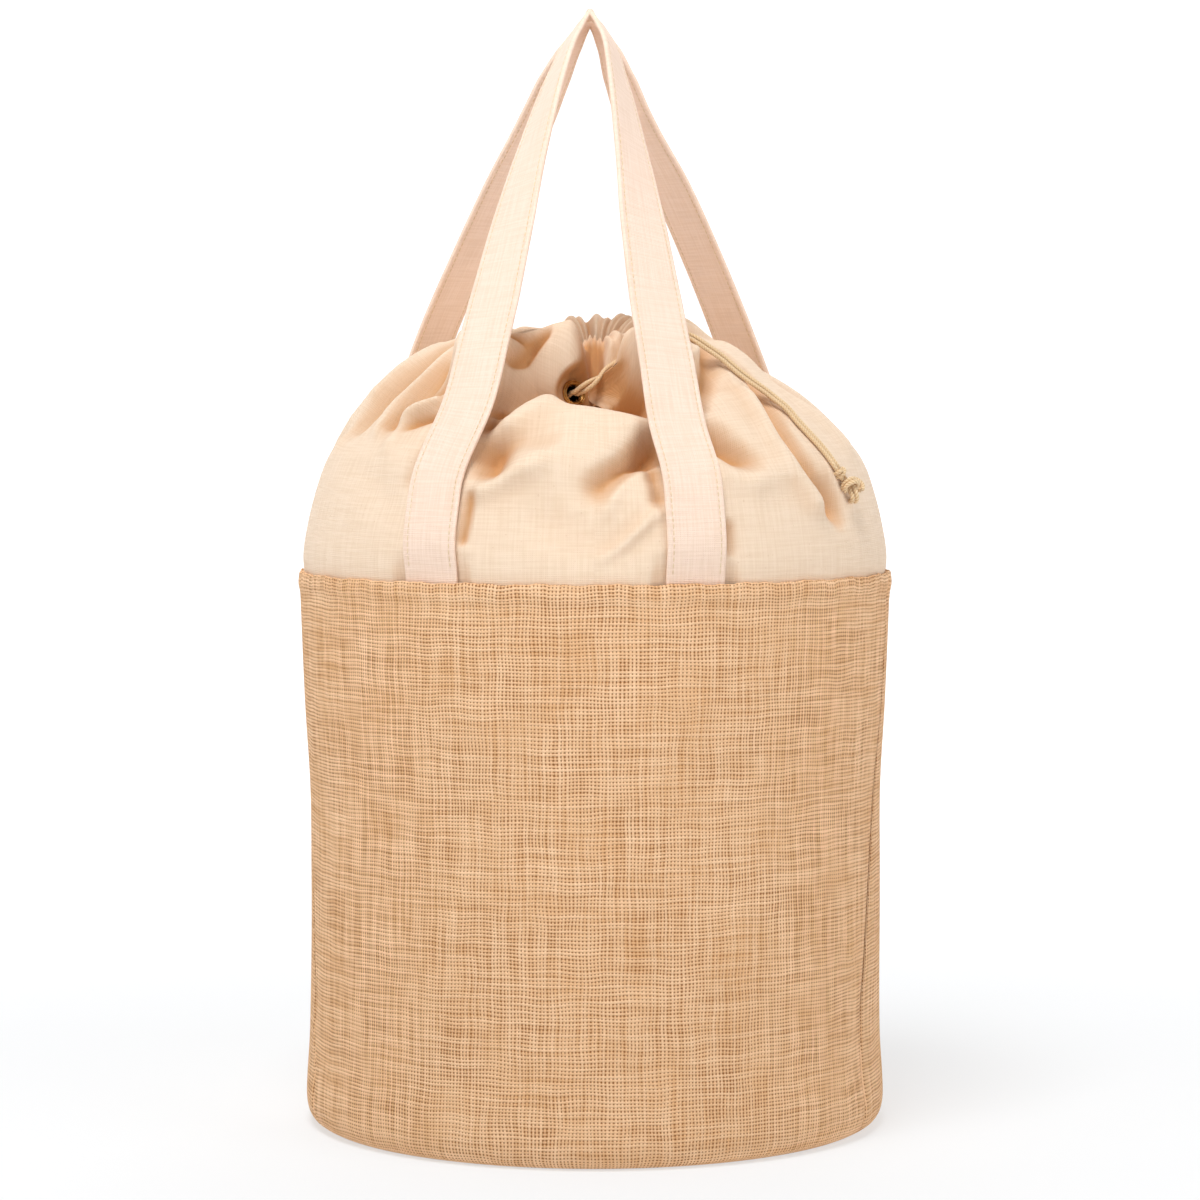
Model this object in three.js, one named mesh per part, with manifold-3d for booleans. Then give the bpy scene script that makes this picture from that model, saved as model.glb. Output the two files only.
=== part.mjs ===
// Bucket-shaped gym bag: a round jute body, a gathered cotton canvas top drawn shut with a cord, and two
// canvas strap handles held up to a point. Millimetres, +Z up, the front faces -Y, and the origin is the
// middle of the base. An azimuth is in degrees, 0 at the front and positive towards +X.
import * as THREE from 'three';
import { mergeVertices } from 'three/addons/utils/BufferGeometryUtils.js';
import Module from 'manifold-3d';

// Driving dimensions
const JUTE_THICK = 1.8;
const CANVAS_THICK = 1.2;
const BASE_RADIUS = 139.4;
const BASE_THICK = 2.4;
const STRAP_WIDTH = 30;
const STRAP_THICK = 2.4;
const CORD_DIAMETER = 2.3;
const EYELET_OUTER = 13.6;
const EYELET_BORE = 8.6;
const EYELET_NECK = 1;
const CLEARANCE = 0.35;

// Grid sizes of the cloth solids
const CANVAS_COLUMNS = 84;
const PANEL_COLUMNS = 30;
const STRAP_STEPS = 54;

const RADIANS = Math.PI / 180;

// Outer face of the jute wall, from the edge turned under at the base to the folded hem at the rim
const WALL = [
  { z: 0.5, r: 140.8 },
  { z: 2.6, r: 144.6 },
  { z: 7.5, r: 147.4 },
  { z: 16, r: 148.3 },
  { z: 47, r: 146.8 },
  { z: 130, r: 146.3 },
  { z: 172, r: 146.2 },
  { z: 215, r: 148.4 },
  { z: 262, r: 150.2 },
  { z: 271, r: 150.5 },
  { z: 276, r: 151.3 },
  { z: 281, r: 150.9 },
];

// Where the two panels meet: each seam leans, so each row gives its azimuth at one height
const SEAMS = [
  { z: 0, left: -73, right: 66 },
  { z: 110, left: -80, right: 69 },
  { z: 200, left: -92, right: 76 },
  { z: 281, left: -99, right: 80 },
];
const SEAM_GAP = 0.5;

// Soft dents and bulges of the jute wall: middle, half sizes round the wall and up it, and depth
const WALL_DENTS = [
  { at: 71, z: 52, wide: 12, high: 38, depth: 2.2 },
  { at: 62, z: 20, wide: 8, high: 12, depth: -1.0 },
  { at: -78, z: 110, wide: 14, high: 60, depth: 1.4 },
  { at: -20, z: 150, wide: 26, high: 70, depth: 0.8 },
  { at: 30, z: 90, wide: 24, high: 60, depth: -0.8 },
  { at: 130, z: 120, wide: 26, high: 80, depth: 1.6 },
  { at: -150, z: 90, wide: 24, high: 70, depth: 1.2 },
];

// Meridian of the canvas: s is the way up the cloth from the rim of the jute
const MERIDIAN = [
  { s: -14, r: 147.7, z: 266 },
  { s: 0, r: 148.3, z: 280 },
  { s: 9, r: 148.9, z: 289 },
  { s: 19, r: 147.8, z: 299 },
  { s: 38, r: 143.6, z: 318 },
  { s: 59, r: 136.8, z: 338 },
  { s: 72, r: 129.5, z: 348.5 },
  { s: 86, r: 120.5, z: 358.5 },
  { s: 115, r: 99.5, z: 378.5 },
  { s: 131, r: 87, z: 389 },
  { s: 147, r: 73, z: 395.5 },
  { s: 164, r: 57, z: 399.5 },
  { s: 179, r: 42, z: 401.5 },
  { s: 191, r: 30, z: 401.5 },
  { s: 201, r: 21.5, z: 398 },
  { s: 213, r: 15.5, z: 389 },
  { s: 228, r: 13.5, z: 375 },
];
const CANVAS_ROWS = [
  -14, -2, 12, 26, 38, 50, 61, 72, 83, 93, 103, 112, 121, 129, 135, 140, 144, 148, 152, 156, 161, 167, 174, 181, 189,
  198, 211, 228,
];
const MOUTH = { x: 0, y: -14, from: 110, to: 28 };

// Folds of the canvas, each a soft ridge or trough along a line from (at, s) to (at2, s2)
const FOLDS = [
  { name: 'hollow', at: -18, s: 128, at2: 13, s2: 126, wide: 24, high: -37 },
  { name: 'lip left', at: -22, s: 80, at2: -12, s2: 103, wide: 8, high: 11 },
  { name: 'lip right', at: -10, s: 96, at2: 12, s2: 84, wide: 8, high: 6 },
  { name: 'left lobe', at: -38, s: 128, at2: -11, s2: 156, wide: 13, high: 26 },
  { name: 'left lobe crease', at: -38, s: 158, at2: -18, s2: 190, wide: 6, high: -8 },
  { name: 'right lobe', at: 20, s: 158, at2: 29, s2: 148, wide: 12, high: 26 },
  { name: 'lobe gap', at: 0, s: 138, at2: 1, s2: 178, wide: 5.5, high: -12 },
  { name: 'cord valley', at: 2, s: 152, at2: 16, s2: 168, wide: 9, high: -16 },
  { name: 'belly', at: -9, s: 62, at2: -6, s2: 80, wide: 20, high: 4 },
  { name: 'front valley top', at: 13, s: 78, at2: 12, s2: 64, wide: 8, high: -6 },
  { name: 'front valley', at: 12, s: 64, at2: 1, s2: 50, wide: 8, high: -4 },
  { name: 'left strap valley', at: -21, s: 74, at2: -20, s2: 58, wide: 8, high: -5 },
  { name: 'left strap ridge', at: -22, s: 48, at2: -12, s2: 58, wide: 8, high: 2.5 },
  { name: 'left shoulder trough 1', at: -72, s: 150, at2: -68, s2: 84, wide: 6, high: -4.5 },
  { name: 'left shoulder ridge 1', at: -80, s: 150, at2: -76, s2: 70, wide: 7, high: 3.5 },
  { name: 'left shoulder ridge 2', at: -63, s: 150, at2: -58, s2: 80, wide: 6, high: 3.5 },
  { name: 'left shoulder trough 2', at: -51, s: 122, at2: -53, s2: 84, wide: 5, high: -4 },
  { name: 'left shoulder ridge 3', at: -45, s: 104, at2: -50, s2: 70, wide: 6, high: 2.5 },
  { name: 'right shoulder ridge', at: 43, s: 140, at2: 49, s2: 40, wide: 7, high: 3.5 },
  { name: 'right shoulder trough', at: 50, s: 140, at2: 54, s2: 36, wide: 5, high: -4 },
  { name: 'right strap dimple', at: 28, s: 78, at2: 31, s2: 64, wide: 9, high: -5 },
  { name: 'right side ridge', at: 68, s: 150, at2: 72, s2: 70, wide: 8, high: 3 },
  { name: 'right side trough', at: 82, s: 150, at2: 86, s2: 70, wide: 8, high: -3.5 },
  { name: 'right shoulder low', at: 74, s: 120, at2: 108, s2: 140, wide: 22, high: -6 },
  { name: 'back trough 1', at: 112, s: 160, at2: 118, s2: 64, wide: 9, high: -4.5 },
  { name: 'back ridge 1', at: 128, s: 160, at2: 134, s2: 76, wide: 9, high: 4 },
  { name: 'back trough 2', at: 150, s: 160, at2: 152, s2: 60, wide: 9, high: -5 },
  { name: 'back ridge 2', at: 168, s: 164, at2: 172, s2: 70, wide: 10, high: 5 },
  { name: 'back trough 3', at: -172, s: 160, at2: -168, s2: 66, wide: 8, high: -4.5 },
  { name: 'back ridge 3', at: -152, s: 164, at2: -148, s2: 74, wide: 9, high: 4 },
  { name: 'back trough 4', at: -134, s: 160, at2: -128, s2: 64, wide: 8, high: -4 },
  { name: 'back ridge 4', at: -116, s: 160, at2: -110, s2: 76, wide: 8, high: 3.5 },
  { name: 'left side trough', at: -96, s: 156, at2: -92, s2: 72, wide: 7, high: -3.5 },
  { name: 'crown right', at: 104, s: 180, at2: 172, s2: 184, wide: 12, high: 10 },
  { name: 'crown left', at: -120, s: 168, at2: -130, s2: 172, wide: 10, high: 3 },
];

// Small pleats at the mouth: how many, how uneven, and how deep at each way up the cloth
const PLEATS = { count: 12, uneven: 1.4, phase: 0.5 };
const PLEAT_DEPTH = [
  { s: -14, deep: 0 },
  { s: 120, deep: 0 },
  { s: 150, deep: 1.2 },
  { s: 175, deep: 3.4 },
  { s: 195, deep: 3.6 },
  { s: 212, deep: 2.4 },
  { s: 228, deep: 1.4 },
];

// Handles: the azimuth of each foot, and the free strap between them. turn is the angle of the strap's
// width from +X, towards the front on the front handle and towards the back on the other one.
const FRONT_HANDLE = {
  name: 'handle_front',
  side: -1,
  feet: [
    { at: -32.3, turn: 32.3 },
    { at: 19.2, turn: 160.8 },
  ],
  free: [
    { x: -61.2, y: -107, z: 368, turn: 32 },
    { x: -54.1, y: -93.5, z: 397, turn: 34 },
    { x: -49.2, y: -83.5, z: 418, turn: 36 },
    { x: -40.5, y: -65.5, z: 456, turn: 47 },
    { x: -32.6, y: -50.5, z: 488, turn: 60 },
    { x: -20, y: -31.5, z: 530, turn: 74 },
    { x: -11.2, y: -21.5, z: 551, turn: 82 },
    { x: -2.5, y: -16.2, z: 561.5, turn: 90 },
    { x: 6.2, y: -21.5, z: 551, turn: 98 },
    { x: 11.8, y: -31.5, z: 530, turn: 105 },
    { x: 19.3, y: -51, z: 488, turn: 121 },
    { x: 23.9, y: -67, z: 457, turn: 135 },
    { x: 29.8, y: -87.5, z: 418, turn: 147 },
    { x: 35.2, y: -104, z: 386, turn: 152 },
    { x: 39.7, y: -119, z: 358, turn: 157 },
  ],
};
const BACK_HANDLE = {
  name: 'handle_back',
  side: 1,
  feet: [
    { at: -132, turn: 48 },
    { at: 138, turn: 138 },
  ],
  free: [
    { x: -96, y: 87, z: 368, turn: 49 },
    { x: -83.6, y: 75, z: 403, turn: 50 },
    { x: -66, y: 60, z: 441.7, turn: 50 },
    { x: -47.5, y: 46.5, z: 480, turn: 51 },
    { x: -30.6, y: 34, z: 512, turn: 54 },
    { x: -21, y: 26.5, z: 533, turn: 61 },
    { x: -12.5, y: 20.5, z: 549, turn: 74 },
    { x: -2.5, y: 16.2, z: 561.5, turn: 90 },
    { x: 6.8, y: 20.5, z: 549, turn: 106 },
    { x: 13, y: 26.5, z: 533, turn: 120 },
    { x: 21.2, y: 34, z: 512, turn: 128 },
    { x: 39, y: 48.5, z: 480, turn: 132 },
    { x: 56.8, y: 64.5, z: 441.7, turn: 134 },
    { x: 73, y: 80, z: 403, turn: 136 },
    { x: 86, y: 95, z: 368, turn: 137 },
  ],
};
// Every foot climbs the canvas in the same way: the radius of the strap's middle at each height
const FOOT = [
  { z: 267, r: 145.9 },
  { z: 284, r: 146.5 },
  { z: 300, r: 148.6 },
  { z: 318, r: 145.6 },
  { z: 335, r: 140.0 },
];

// Eyelet in the hem: the middle of the hole on the canvas, and the way it faces
const EYELET_SEAT = 14.5;
const EYELET = { x: -10.5, y: -65.8, z: 372, turn: 36, tip: 10 };

// Drawcord: places of the pair's middle line, from the eyelet over the right shoulder to the knot
const CORD_ROUTE = [
  { x: -2.5, y: -70, z: 376.5 },
  { x: 4, y: -66.5, z: 381.5 },
  { x: 10, y: -62, z: 386 },
  { x: 15.5, y: -58.5, z: 393.5 },
  { x: 22, y: -54, z: 401.5 },
  { x: 31, y: -56, z: 404 },
  { x: 40, y: -67, z: 403 },
  { x: 48, y: -77, z: 399.5 },
  { x: 55, y: -75.5, z: 395 },
  { x: 63, y: -72.5, z: 389.5 },
  { x: 69.5, y: -71.5, z: 384 },
  { x: 76, y: -70.5, z: 379 },
  { x: 82.5, y: -69.5, z: 374.5 },
  { x: 89, y: -69, z: 369.5 },
  { x: 95, y: -70, z: 364.5 },
  { x: 100, y: -71.5, z: 358.5 },
  { x: 105.5, y: -73, z: 352.5 },
  { x: 111, y: -75, z: 346.5 },
  { x: 115, y: -76, z: 341.5 },
  { x: 118.5, y: -77, z: 336.5 },
];
const CORD_SPACING = 2.9;
const CORD_TWISTS = 1.5;
const CORD_TWISTED_LENGTH = 46;
const CORD_STEPS = 58;
const CORD_PLACES = 90;
const FURROW = { deepAtMouth: 6.5, deep: 3.4, reach: 6, soft: 8, mouthLength: 70, fromEyelet: 17 };
const KNOT = { at: 60.2, z: 325.2, r: 146.6, scale: 2.0, tube: 3.3 };
const KNOT_ENTRY = new THREE.Vector3(-4, -0.4, 4);

function clamp01(t) {
  return Math.min(1, Math.max(0, t));
}

function ease(t) {
  const c = clamp01(t);
  return c * c * (3 - 2 * c);
}

// A smooth curve through the rows of a table: column y as a function of column x, with the slope at each
// row taken from its two neighbours.
function through(rows, x, y, value) {
  const last = rows.length - 1;
  const slope = (i) => {
    const low = rows[Math.max(0, i - 1)];
    const high = rows[Math.min(last, i + 1)];
    return (high[y] - low[y]) / (high[x] - low[x]);
  };
  const t = Math.min(rows[last][x], Math.max(rows[0][x], value));
  let i = 0;
  while (i < last - 1 && rows[i + 1][x] < t) i += 1;
  const span = rows[i + 1][x] - rows[i][x];
  const u = (t - rows[i][x]) / span;
  const u2 = u * u;
  const u3 = u2 * u;
  return (
    (2 * u3 - 3 * u2 + 1) * rows[i][y] +
    (u3 - 2 * u2 + u) * span * slope(i) +
    (3 * u2 - 2 * u3) * rows[i + 1][y] +
    (u3 - u2) * span * slope(i + 1)
  );
}

// A point from its azimuth, radius and height
function polar(at, r, z) {
  return new THREE.Vector3(r * Math.sin(at * RADIANS), -r * Math.cos(at * RADIANS), z);
}

// A closed body from a grid of points in rows of equal length. Rows run from the first cap to the last one,
// and each row is a closed ring.
function bodyOfRings(rings) {
  const n = rings[0].length;
  const positions = rings.flat().flatMap((p) => [p.x, p.y, p.z]);
  const index = [];
  for (let i = 0; i + 1 < rings.length; i += 1) {
    for (let j = 0; j < n; j += 1) {
      const k = (j + 1) % n;
      const a = i * n + j;
      const b = i * n + k;
      const c = (i + 1) * n + j;
      const d = (i + 1) * n + k;
      index.push(a, b, d, a, d, c);
    }
  }
  const cap = (start, flip) => {
    for (let j = 1; j + 1 < n; j += 1) {
      if (flip) index.push(start, start + j + 1, start + j);
      else index.push(start, start + j, start + j + 1);
    }
  };
  cap(0, true);
  cap((rings.length - 1) * n, false);
  return geometryOf(positions, index);
}

// A sheet with thickness, from the grids of its outer and inner faces. Where it closes on itself, the last
// column joins the first one.
function bodyOfSheet(outer, inner, closed) {
  const rows = outer.length;
  const columns = outer[0].length;
  const positions = [outer, inner].flat(2).flatMap((p) => [p.x, p.y, p.z]);
  const index = [];
  const quad = (a, b, c, d) => index.push(a, b, c, a, c, d);
  const at = (face, i, j) => (face * rows + i) * columns + (j % columns);
  const spans = closed ? columns : columns - 1;
  for (let j = 0; j < spans; j += 1) {
    for (let i = 0; i + 1 < rows; i += 1) {
      quad(at(0, i, j), at(0, i, j + 1), at(0, i + 1, j + 1), at(0, i + 1, j));
      quad(at(1, i, j), at(1, i + 1, j), at(1, i + 1, j + 1), at(1, i, j + 1));
    }
    quad(at(1, 0, j), at(1, 0, j + 1), at(0, 0, j + 1), at(0, 0, j));
    quad(at(0, rows - 1, j), at(0, rows - 1, j + 1), at(1, rows - 1, j + 1), at(1, rows - 1, j));
  }
  if (!closed) {
    for (let i = 0; i + 1 < rows; i += 1) {
      quad(at(0, i, 0), at(0, i + 1, 0), at(1, i + 1, 0), at(1, i, 0));
      quad(at(1, i, columns - 1), at(1, i + 1, columns - 1), at(0, i + 1, columns - 1), at(0, i, columns - 1));
    }
  }
  return geometryOf(positions, index);
}

function geometryOf(positions, index) {
  const geometry = new THREE.BufferGeometry();
  geometry.setAttribute('position', new THREE.Float32BufferAttribute(positions, 3));
  geometry.setIndex(index);
  geometry.computeVertexNormals();
  return geometry;
}

const wasm = await Module();
wasm.setup();

function solidFrom(geometry) {
  const bare = geometry.clone();
  bare.deleteAttribute('normal');
  bare.deleteAttribute('uv');
  const merged = mergeVertices(bare, 1e-4);
  return new wasm.Manifold(
    new wasm.Mesh({
      numProp: 3,
      vertProperties: new Float32Array(merged.attributes.position.array),
      triVerts: new Uint32Array(merged.index.array),
    }),
  );
}

function geometryFrom(solid) {
  const mesh = solid.getMesh();
  return geometryOf(Array.from(mesh.vertProperties), Array.from(mesh.triVerts));
}

// Jute wall: its outer radius, dents included
function wallRadius(at, z) {
  let r = through(WALL, 'z', 'r', z);
  for (const dent of WALL_DENTS) {
    const around = (at - dent.at) / dent.wide;
    const up = (z - dent.z) / dent.high;
    r -= dent.depth * Math.exp(-around * around - up * up) * ease(z / 16);
  }
  return r;
}

function jutePanel(edges) {
  const outer = [];
  const inner = [];
  for (const row of WALL) {
    const [from, to] = edges(row.z);
    const half = SEAM_GAP / 2 / row.r / RADIANS;
    const low = Math.max(WALL[0].z, row.z - 0.4);
    const high = Math.min(WALL[WALL.length - 1].z, row.z + 0.4);
    const run = through(WALL, 'z', 'r', high) - through(WALL, 'z', 'r', low);
    const length = Math.hypot(run, high - low);
    const inward = (JUTE_THICK * (high - low)) / length;
    const upward = (JUTE_THICK * run) / length;
    const outerRow = [];
    const innerRow = [];
    for (let j = 0; j <= PANEL_COLUMNS; j += 1) {
      const at = from + half + ((to - from - 2 * half) * j) / PANEL_COLUMNS;
      const r = wallRadius(at, row.z);
      outerRow.push(polar(at, r, row.z));
      innerRow.push(polar(at, r - inward, row.z + upward));
    }
    outer.push(outerRow);
    inner.push(innerRow);
  }
  return bodyOfSheet(outer, inner, false);
}

function seamAt(side, z) {
  return through(SEAMS, 'z', side, z);
}

function juteFront() {
  return jutePanel((z) => [seamAt('left', z), seamAt('right', z)]);
}

function juteBack() {
  return jutePanel((z) => [seamAt('right', z), seamAt('left', z) + 360]);
}

function juteBase() {
  const edge = 0.7;
  return new THREE.LatheGeometry(
    [
      new THREE.Vector2(0, 0),
      new THREE.Vector2(BASE_RADIUS - edge, 0),
      new THREE.Vector2(BASE_RADIUS, edge),
      new THREE.Vector2(BASE_RADIUS, BASE_THICK - edge),
      new THREE.Vector2(BASE_RADIUS - edge, BASE_THICK),
      new THREE.Vector2(0, BASE_THICK),
    ],
    48,
  ).rotateX(Math.PI / 2);
}

// The middle line of a handle with its frame: where each station is, the way of the strap's width, and the
// way that its outer face looks.
function handleStations(handle) {
  const footRow = (foot) => (row) => ({ ...polarRow(foot.at, row.r, row.z), turn: foot.turn });
  const rows = [
    ...FOOT.map(footRow(handle.feet[0])),
    ...handle.free,
    ...FOOT.map(footRow(handle.feet[1])).reverse(),
  ];
  const curve = new THREE.CatmullRomCurve3(
    rows.map((row) => new THREE.Vector3(row.x, row.y, row.z)),
    false,
    'centripetal',
  );
  const stations = [];
  for (let i = 0; i <= STRAP_STEPS; i += 1) {
    const t = apexSpacing(i / STRAP_STEPS);
    const place = t * (rows.length - 1);
    const k = Math.min(rows.length - 2, Math.floor(place));
    const turn = THREE.MathUtils.lerp(rows[k].turn, rows[k + 1].turn, place - k) * RADIANS;
    const middle = curve.getPoint(t);
    const tangent = curve.getTangent(t);
    const width = new THREE.Vector3(Math.cos(turn), handle.side * Math.sin(turn), 0);
    width.addScaledVector(tangent, -width.dot(tangent)).normalize();
    const face = new THREE.Vector3().crossVectors(width, tangent).multiplyScalar(-handle.side);
    stations.push({ middle, width, face });
  }
  return stations;
}

// Even steps, drawn a little closer together at the tight bend in the middle
function apexSpacing(t) {
  const u = 2 * t - 1;
  return 0.5 + 0.5 * (0.62 * u + 0.38 * u * u * u);
}

function polarRow(at, r, z) {
  const p = polar(at, r, z);
  return { x: p.x, y: p.y, z: p.z };
}

function strap(stations, side) {
  const half = STRAP_WIDTH / 2;
  const skin = STRAP_THICK / 2;
  const shoulder = half - 0.8;
  const section = [
    [-half, 0],
    [-shoulder, skin],
    [shoulder, skin],
    [half, 0],
    [shoulder, -skin],
    [-shoulder, -skin],
  ];
  if (side > 0) section.reverse();
  return bodyOfRings(
    stations.map(({ middle, width, face }) =>
      section.map(([across, out]) =>
        middle.clone().addScaledVector(width, across).addScaledVector(face, out),
      ),
    ),
  );
}

const handles = [FRONT_HANDLE, BACK_HANDLE].map((handle) => ({
  ...handle,
  stations: handleStations(handle),
}));

// Canvas before its folds: the meridian turned round, drawn towards the mouth's own middle near the top
function canvasBase(at, s) {
  const r = through(MERIDIAN, 's', 'r', s);
  const z = through(MERIDIAN, 's', 'z', s);
  const p = polar(at, r, z);
  const pull = ease((MOUTH.from - r) / (MOUTH.from - MOUTH.to));
  p.x += MOUTH.x * pull;
  p.y += MOUTH.y * pull;
  return p;
}

function meridianNormal(at, s) {
  const step = 0.5;
  const dr = through(MERIDIAN, 's', 'r', s + step) - through(MERIDIAN, 's', 'r', s - step);
  const dz = through(MERIDIAN, 's', 'z', s + step) - through(MERIDIAN, 's', 'z', s - step);
  return polar(at, dz, -dr).normalize();
}

const foldLines = FOLDS.map((fold) => ({
  ...fold,
  line: new THREE.Line3(canvasBase(fold.at, fold.s), canvasBase(fold.at2, fold.s2)),
}));

function foldHeight(p) {
  const near = new THREE.Vector3();
  let height = 0;
  for (const fold of foldLines) {
    fold.line.closestPointToPoint(p, true, near);
    const d = near.distanceTo(p) / fold.wide;
    if (d < 3) height += fold.high * Math.exp(-d * d);
  }
  return height;
}

function pleatHeight(at, s) {
  const a = at * RADIANS;
  const calm = 1 - 0.75 * Math.exp(-((at - 4) ** 2) / (2 * 30 ** 2)) * ease((195 - s) / 20);
  const wave = PLEATS.count * a + PLEATS.uneven * Math.sin(2 * a + PLEATS.phase) + PLEATS.phase;
  return through(PLEAT_DEPTH, 's', 'deep', s) * calm * Math.cos(wave);
}

// Cloth is pressed in under each strap, so that it stays clear of the strap's inner face
function pressUnderStraps(p) {
  const reach = STRAP_WIDTH / 2 + 7;
  const soft = 6;
  const clear = STRAP_THICK / 2 + CLEARANCE + 0.3;
  for (const { stations } of handles) {
    let best = stations[0];
    let least = Infinity;
    for (const station of stations) {
      const d = station.middle.distanceToSquared(p);
      if (d < least) {
        least = d;
        best = station;
      }
    }
    if (least > 32 * 32) continue;
    const offset = p.clone().sub(best.middle);
    const across = Math.abs(offset.dot(best.width));
    const out = offset.dot(best.face);
    const push = out + clear;
    if (push > 0 && push < 14) {
      p.addScaledVector(best.face, -push * ease((reach + soft - across) / soft));
    }
  }
  return p;
}

const eyeletFace = new THREE.Vector3(
  Math.sin(EYELET.turn * RADIANS) * Math.cos(EYELET.tip * RADIANS),
  -Math.cos(EYELET.turn * RADIANS) * Math.cos(EYELET.tip * RADIANS),
  Math.sin(EYELET.tip * RADIANS),
);
const eyeletMiddle = new THREE.Vector3(EYELET.x, EYELET.y, EYELET.z);
const knotMiddle = polar(KNOT.at, KNOT.r, KNOT.z);

// Cloth lies flat under the eyelet's rim
function flattenAtEyelet(p, s) {
  const offset = p.clone().sub(eyeletMiddle);
  const out = offset.dot(eyeletFace);
  const radius = Math.sqrt(Math.max(0, offset.lengthSq() - out * out));
  const flat = ease((EYELET_SEAT + 7 - radius) / 7) * ease((s - 116) / 12);
  return p.addScaledVector(eyeletFace, -out * flat);
}

// Middle line of the drawcord, from inside the eyelet to the knot
function cordPath() {
  const points = [-3.5, -0.5, 2.5].map((out) => eyeletMiddle.clone().addScaledVector(eyeletFace, out));
  for (const { x, y, z } of CORD_ROUTE) points.push(new THREE.Vector3(x, y, z));
  points.push(knotMiddle.clone().add(KNOT_ENTRY));
  return new THREE.CatmullRomCurve3(points, false, 'centripetal');
}

const cord = cordPath();
const cordLength = cord.getLength();
const cordPlaces = cord.getSpacedPoints(CORD_PLACES).map((middle, i) => {
  const pastMouth = ease(((i / CORD_PLACES) * cordLength - FURROW.mouthLength) / 30);
  return { middle, deep: THREE.MathUtils.lerp(FURROW.deepAtMouth, FURROW.deep, pastMouth) };
}).filter((place) => place.middle.distanceTo(eyeletMiddle) > FURROW.fromEyelet);

// Cloth is pressed in under the cord, which lies in a soft furrow
function pressUnderCord(p, normal) {
  let least = Infinity;
  let best = cordPlaces[0];
  for (const place of cordPlaces) {
    const d = place.middle.distanceToSquared(p);
    if (d < least) {
      least = d;
      best = place;
    }
  }
  if (least > 24 * 24) return p;
  const offset = p.clone().sub(best.middle);
  const out = offset.dot(normal);
  const across = Math.sqrt(Math.max(0, least - out * out));
  const push = out + best.deep;
  if (push > 0) p.addScaledVector(normal, -push * ease((FURROW.reach + FURROW.soft - across) / FURROW.soft));
  return p;
}

function canvasPoint(at, s) {
  const p = canvasBase(at, s);
  const normal = meridianNormal(at, s);
  const height = foldHeight(p) + pleatHeight(at, s);
  p.addScaledVector(normal, height);
  pressUnderStraps(p);
  pressUnderCord(p, normal);
  return flattenAtEyelet(p, s);
}

// The way that the canvas faces, from its slopes round the bag and up the cloth
function canvasNormal(at, s) {
  const low = MERIDIAN[0].s;
  const high = MERIDIAN[MERIDIAN.length - 1].s;
  const around = canvasPoint(at + 0.6, s).sub(canvasPoint(at - 0.6, s));
  const up = canvasPoint(at, Math.min(high, s + 1)).sub(canvasPoint(at, Math.max(low, s - 1)));
  return around.cross(up).normalize();
}

// Columns lie closer together at the front, where the cloth is folded most
function columnAzimuth(j) {
  const t = (360 * j) / CANVAS_COLUMNS;
  return t - 18 * Math.sin(t * RADIANS);
}

function canvasTop() {
  const outer = [];
  const inner = [];
  for (const s of CANVAS_ROWS) {
    const outerRow = [];
    const innerRow = [];
    for (let j = 0; j < CANVAS_COLUMNS; j += 1) {
      const at = columnAzimuth(j);
      const p = canvasPoint(at, s);
      outerRow.push(p);
      innerRow.push(p.clone().addScaledVector(canvasNormal(at, s), -CANVAS_THICK));
    }
    outer.push(outerRow);
    inner.push(innerRow);
  }
  const cloth = solidFrom(bodyOfSheet(outer, inner, true));
  const hole = EYELET_BORE / 2 + EYELET_NECK + CLEARANCE + 0.1;
  const punch = solidFrom(atEyelet(new THREE.CylinderGeometry(hole, hole, 14, 20)));
  return geometryFrom(cloth.subtract(punch));
}

// Turns a shape made round the Y axis so that it lies on the eyelet's axis, its top facing out
function atEyelet(geometry) {
  const turn = new THREE.Quaternion().setFromUnitVectors(new THREE.Vector3(0, 1, 0), eyeletFace);
  return geometry.applyQuaternion(turn).translate(eyeletMiddle.x, eyeletMiddle.y, eyeletMiddle.z);
}

function eyelet() {
  const bore = EYELET_BORE / 2;
  const rim = EYELET_OUTER / 2;
  const top = CLEARANCE + 0.3;
  const low = -CANVAS_THICK - CLEARANCE - 0.3;
  const profile = [
    [bore, low - 0.8],
    [rim - 0.6, low - 0.8],
    [rim - 0.6, low],
    [bore + EYELET_NECK, low],
    [bore + EYELET_NECK, top],
    [rim, top],
    [rim - 0.3, top + 0.7],
    [rim - 1.3, top + 1.2],
    [bore + 0.4, top + 0.9],
    [bore, top + 0.2],
    [bore, low - 0.8],
  ];
  return atEyelet(new THREE.LatheGeometry(profile.map(([r, y]) => new THREE.Vector2(r, y)), 18));
}

// One strand runs beside the middle line, and winds round it near the eyelet
function cordStrand(path, side) {
  const total = path.getLength();
  const points = [];
  const count = 56;
  for (let i = 0; i <= count; i += 1) {
    const t = i / count;
    const p = path.getPointAt(t);
    const tangent = path.getTangentAt(t);
    const outward = new THREE.Vector3(p.x, p.y, 60).normalize();
    const beside = new THREE.Vector3().crossVectors(tangent, outward).normalize();
    const above = new THREE.Vector3().crossVectors(beside, tangent).normalize();
    const wound = Math.min(1, (t * total) / CORD_TWISTED_LENGTH);
    const angle = wound * CORD_TWISTS * 2 * Math.PI;
    const half = (side * CORD_SPACING) / 2;
    p.addScaledVector(beside, half * Math.cos(angle)).addScaledVector(above, half * Math.sin(angle));
    points.push(p);
  }
  const curve = new THREE.CatmullRomCurve3(points, false, 'centripetal');
  return roundTube(curve, CORD_DIAMETER, CORD_STEPS, 8);
}

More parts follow.
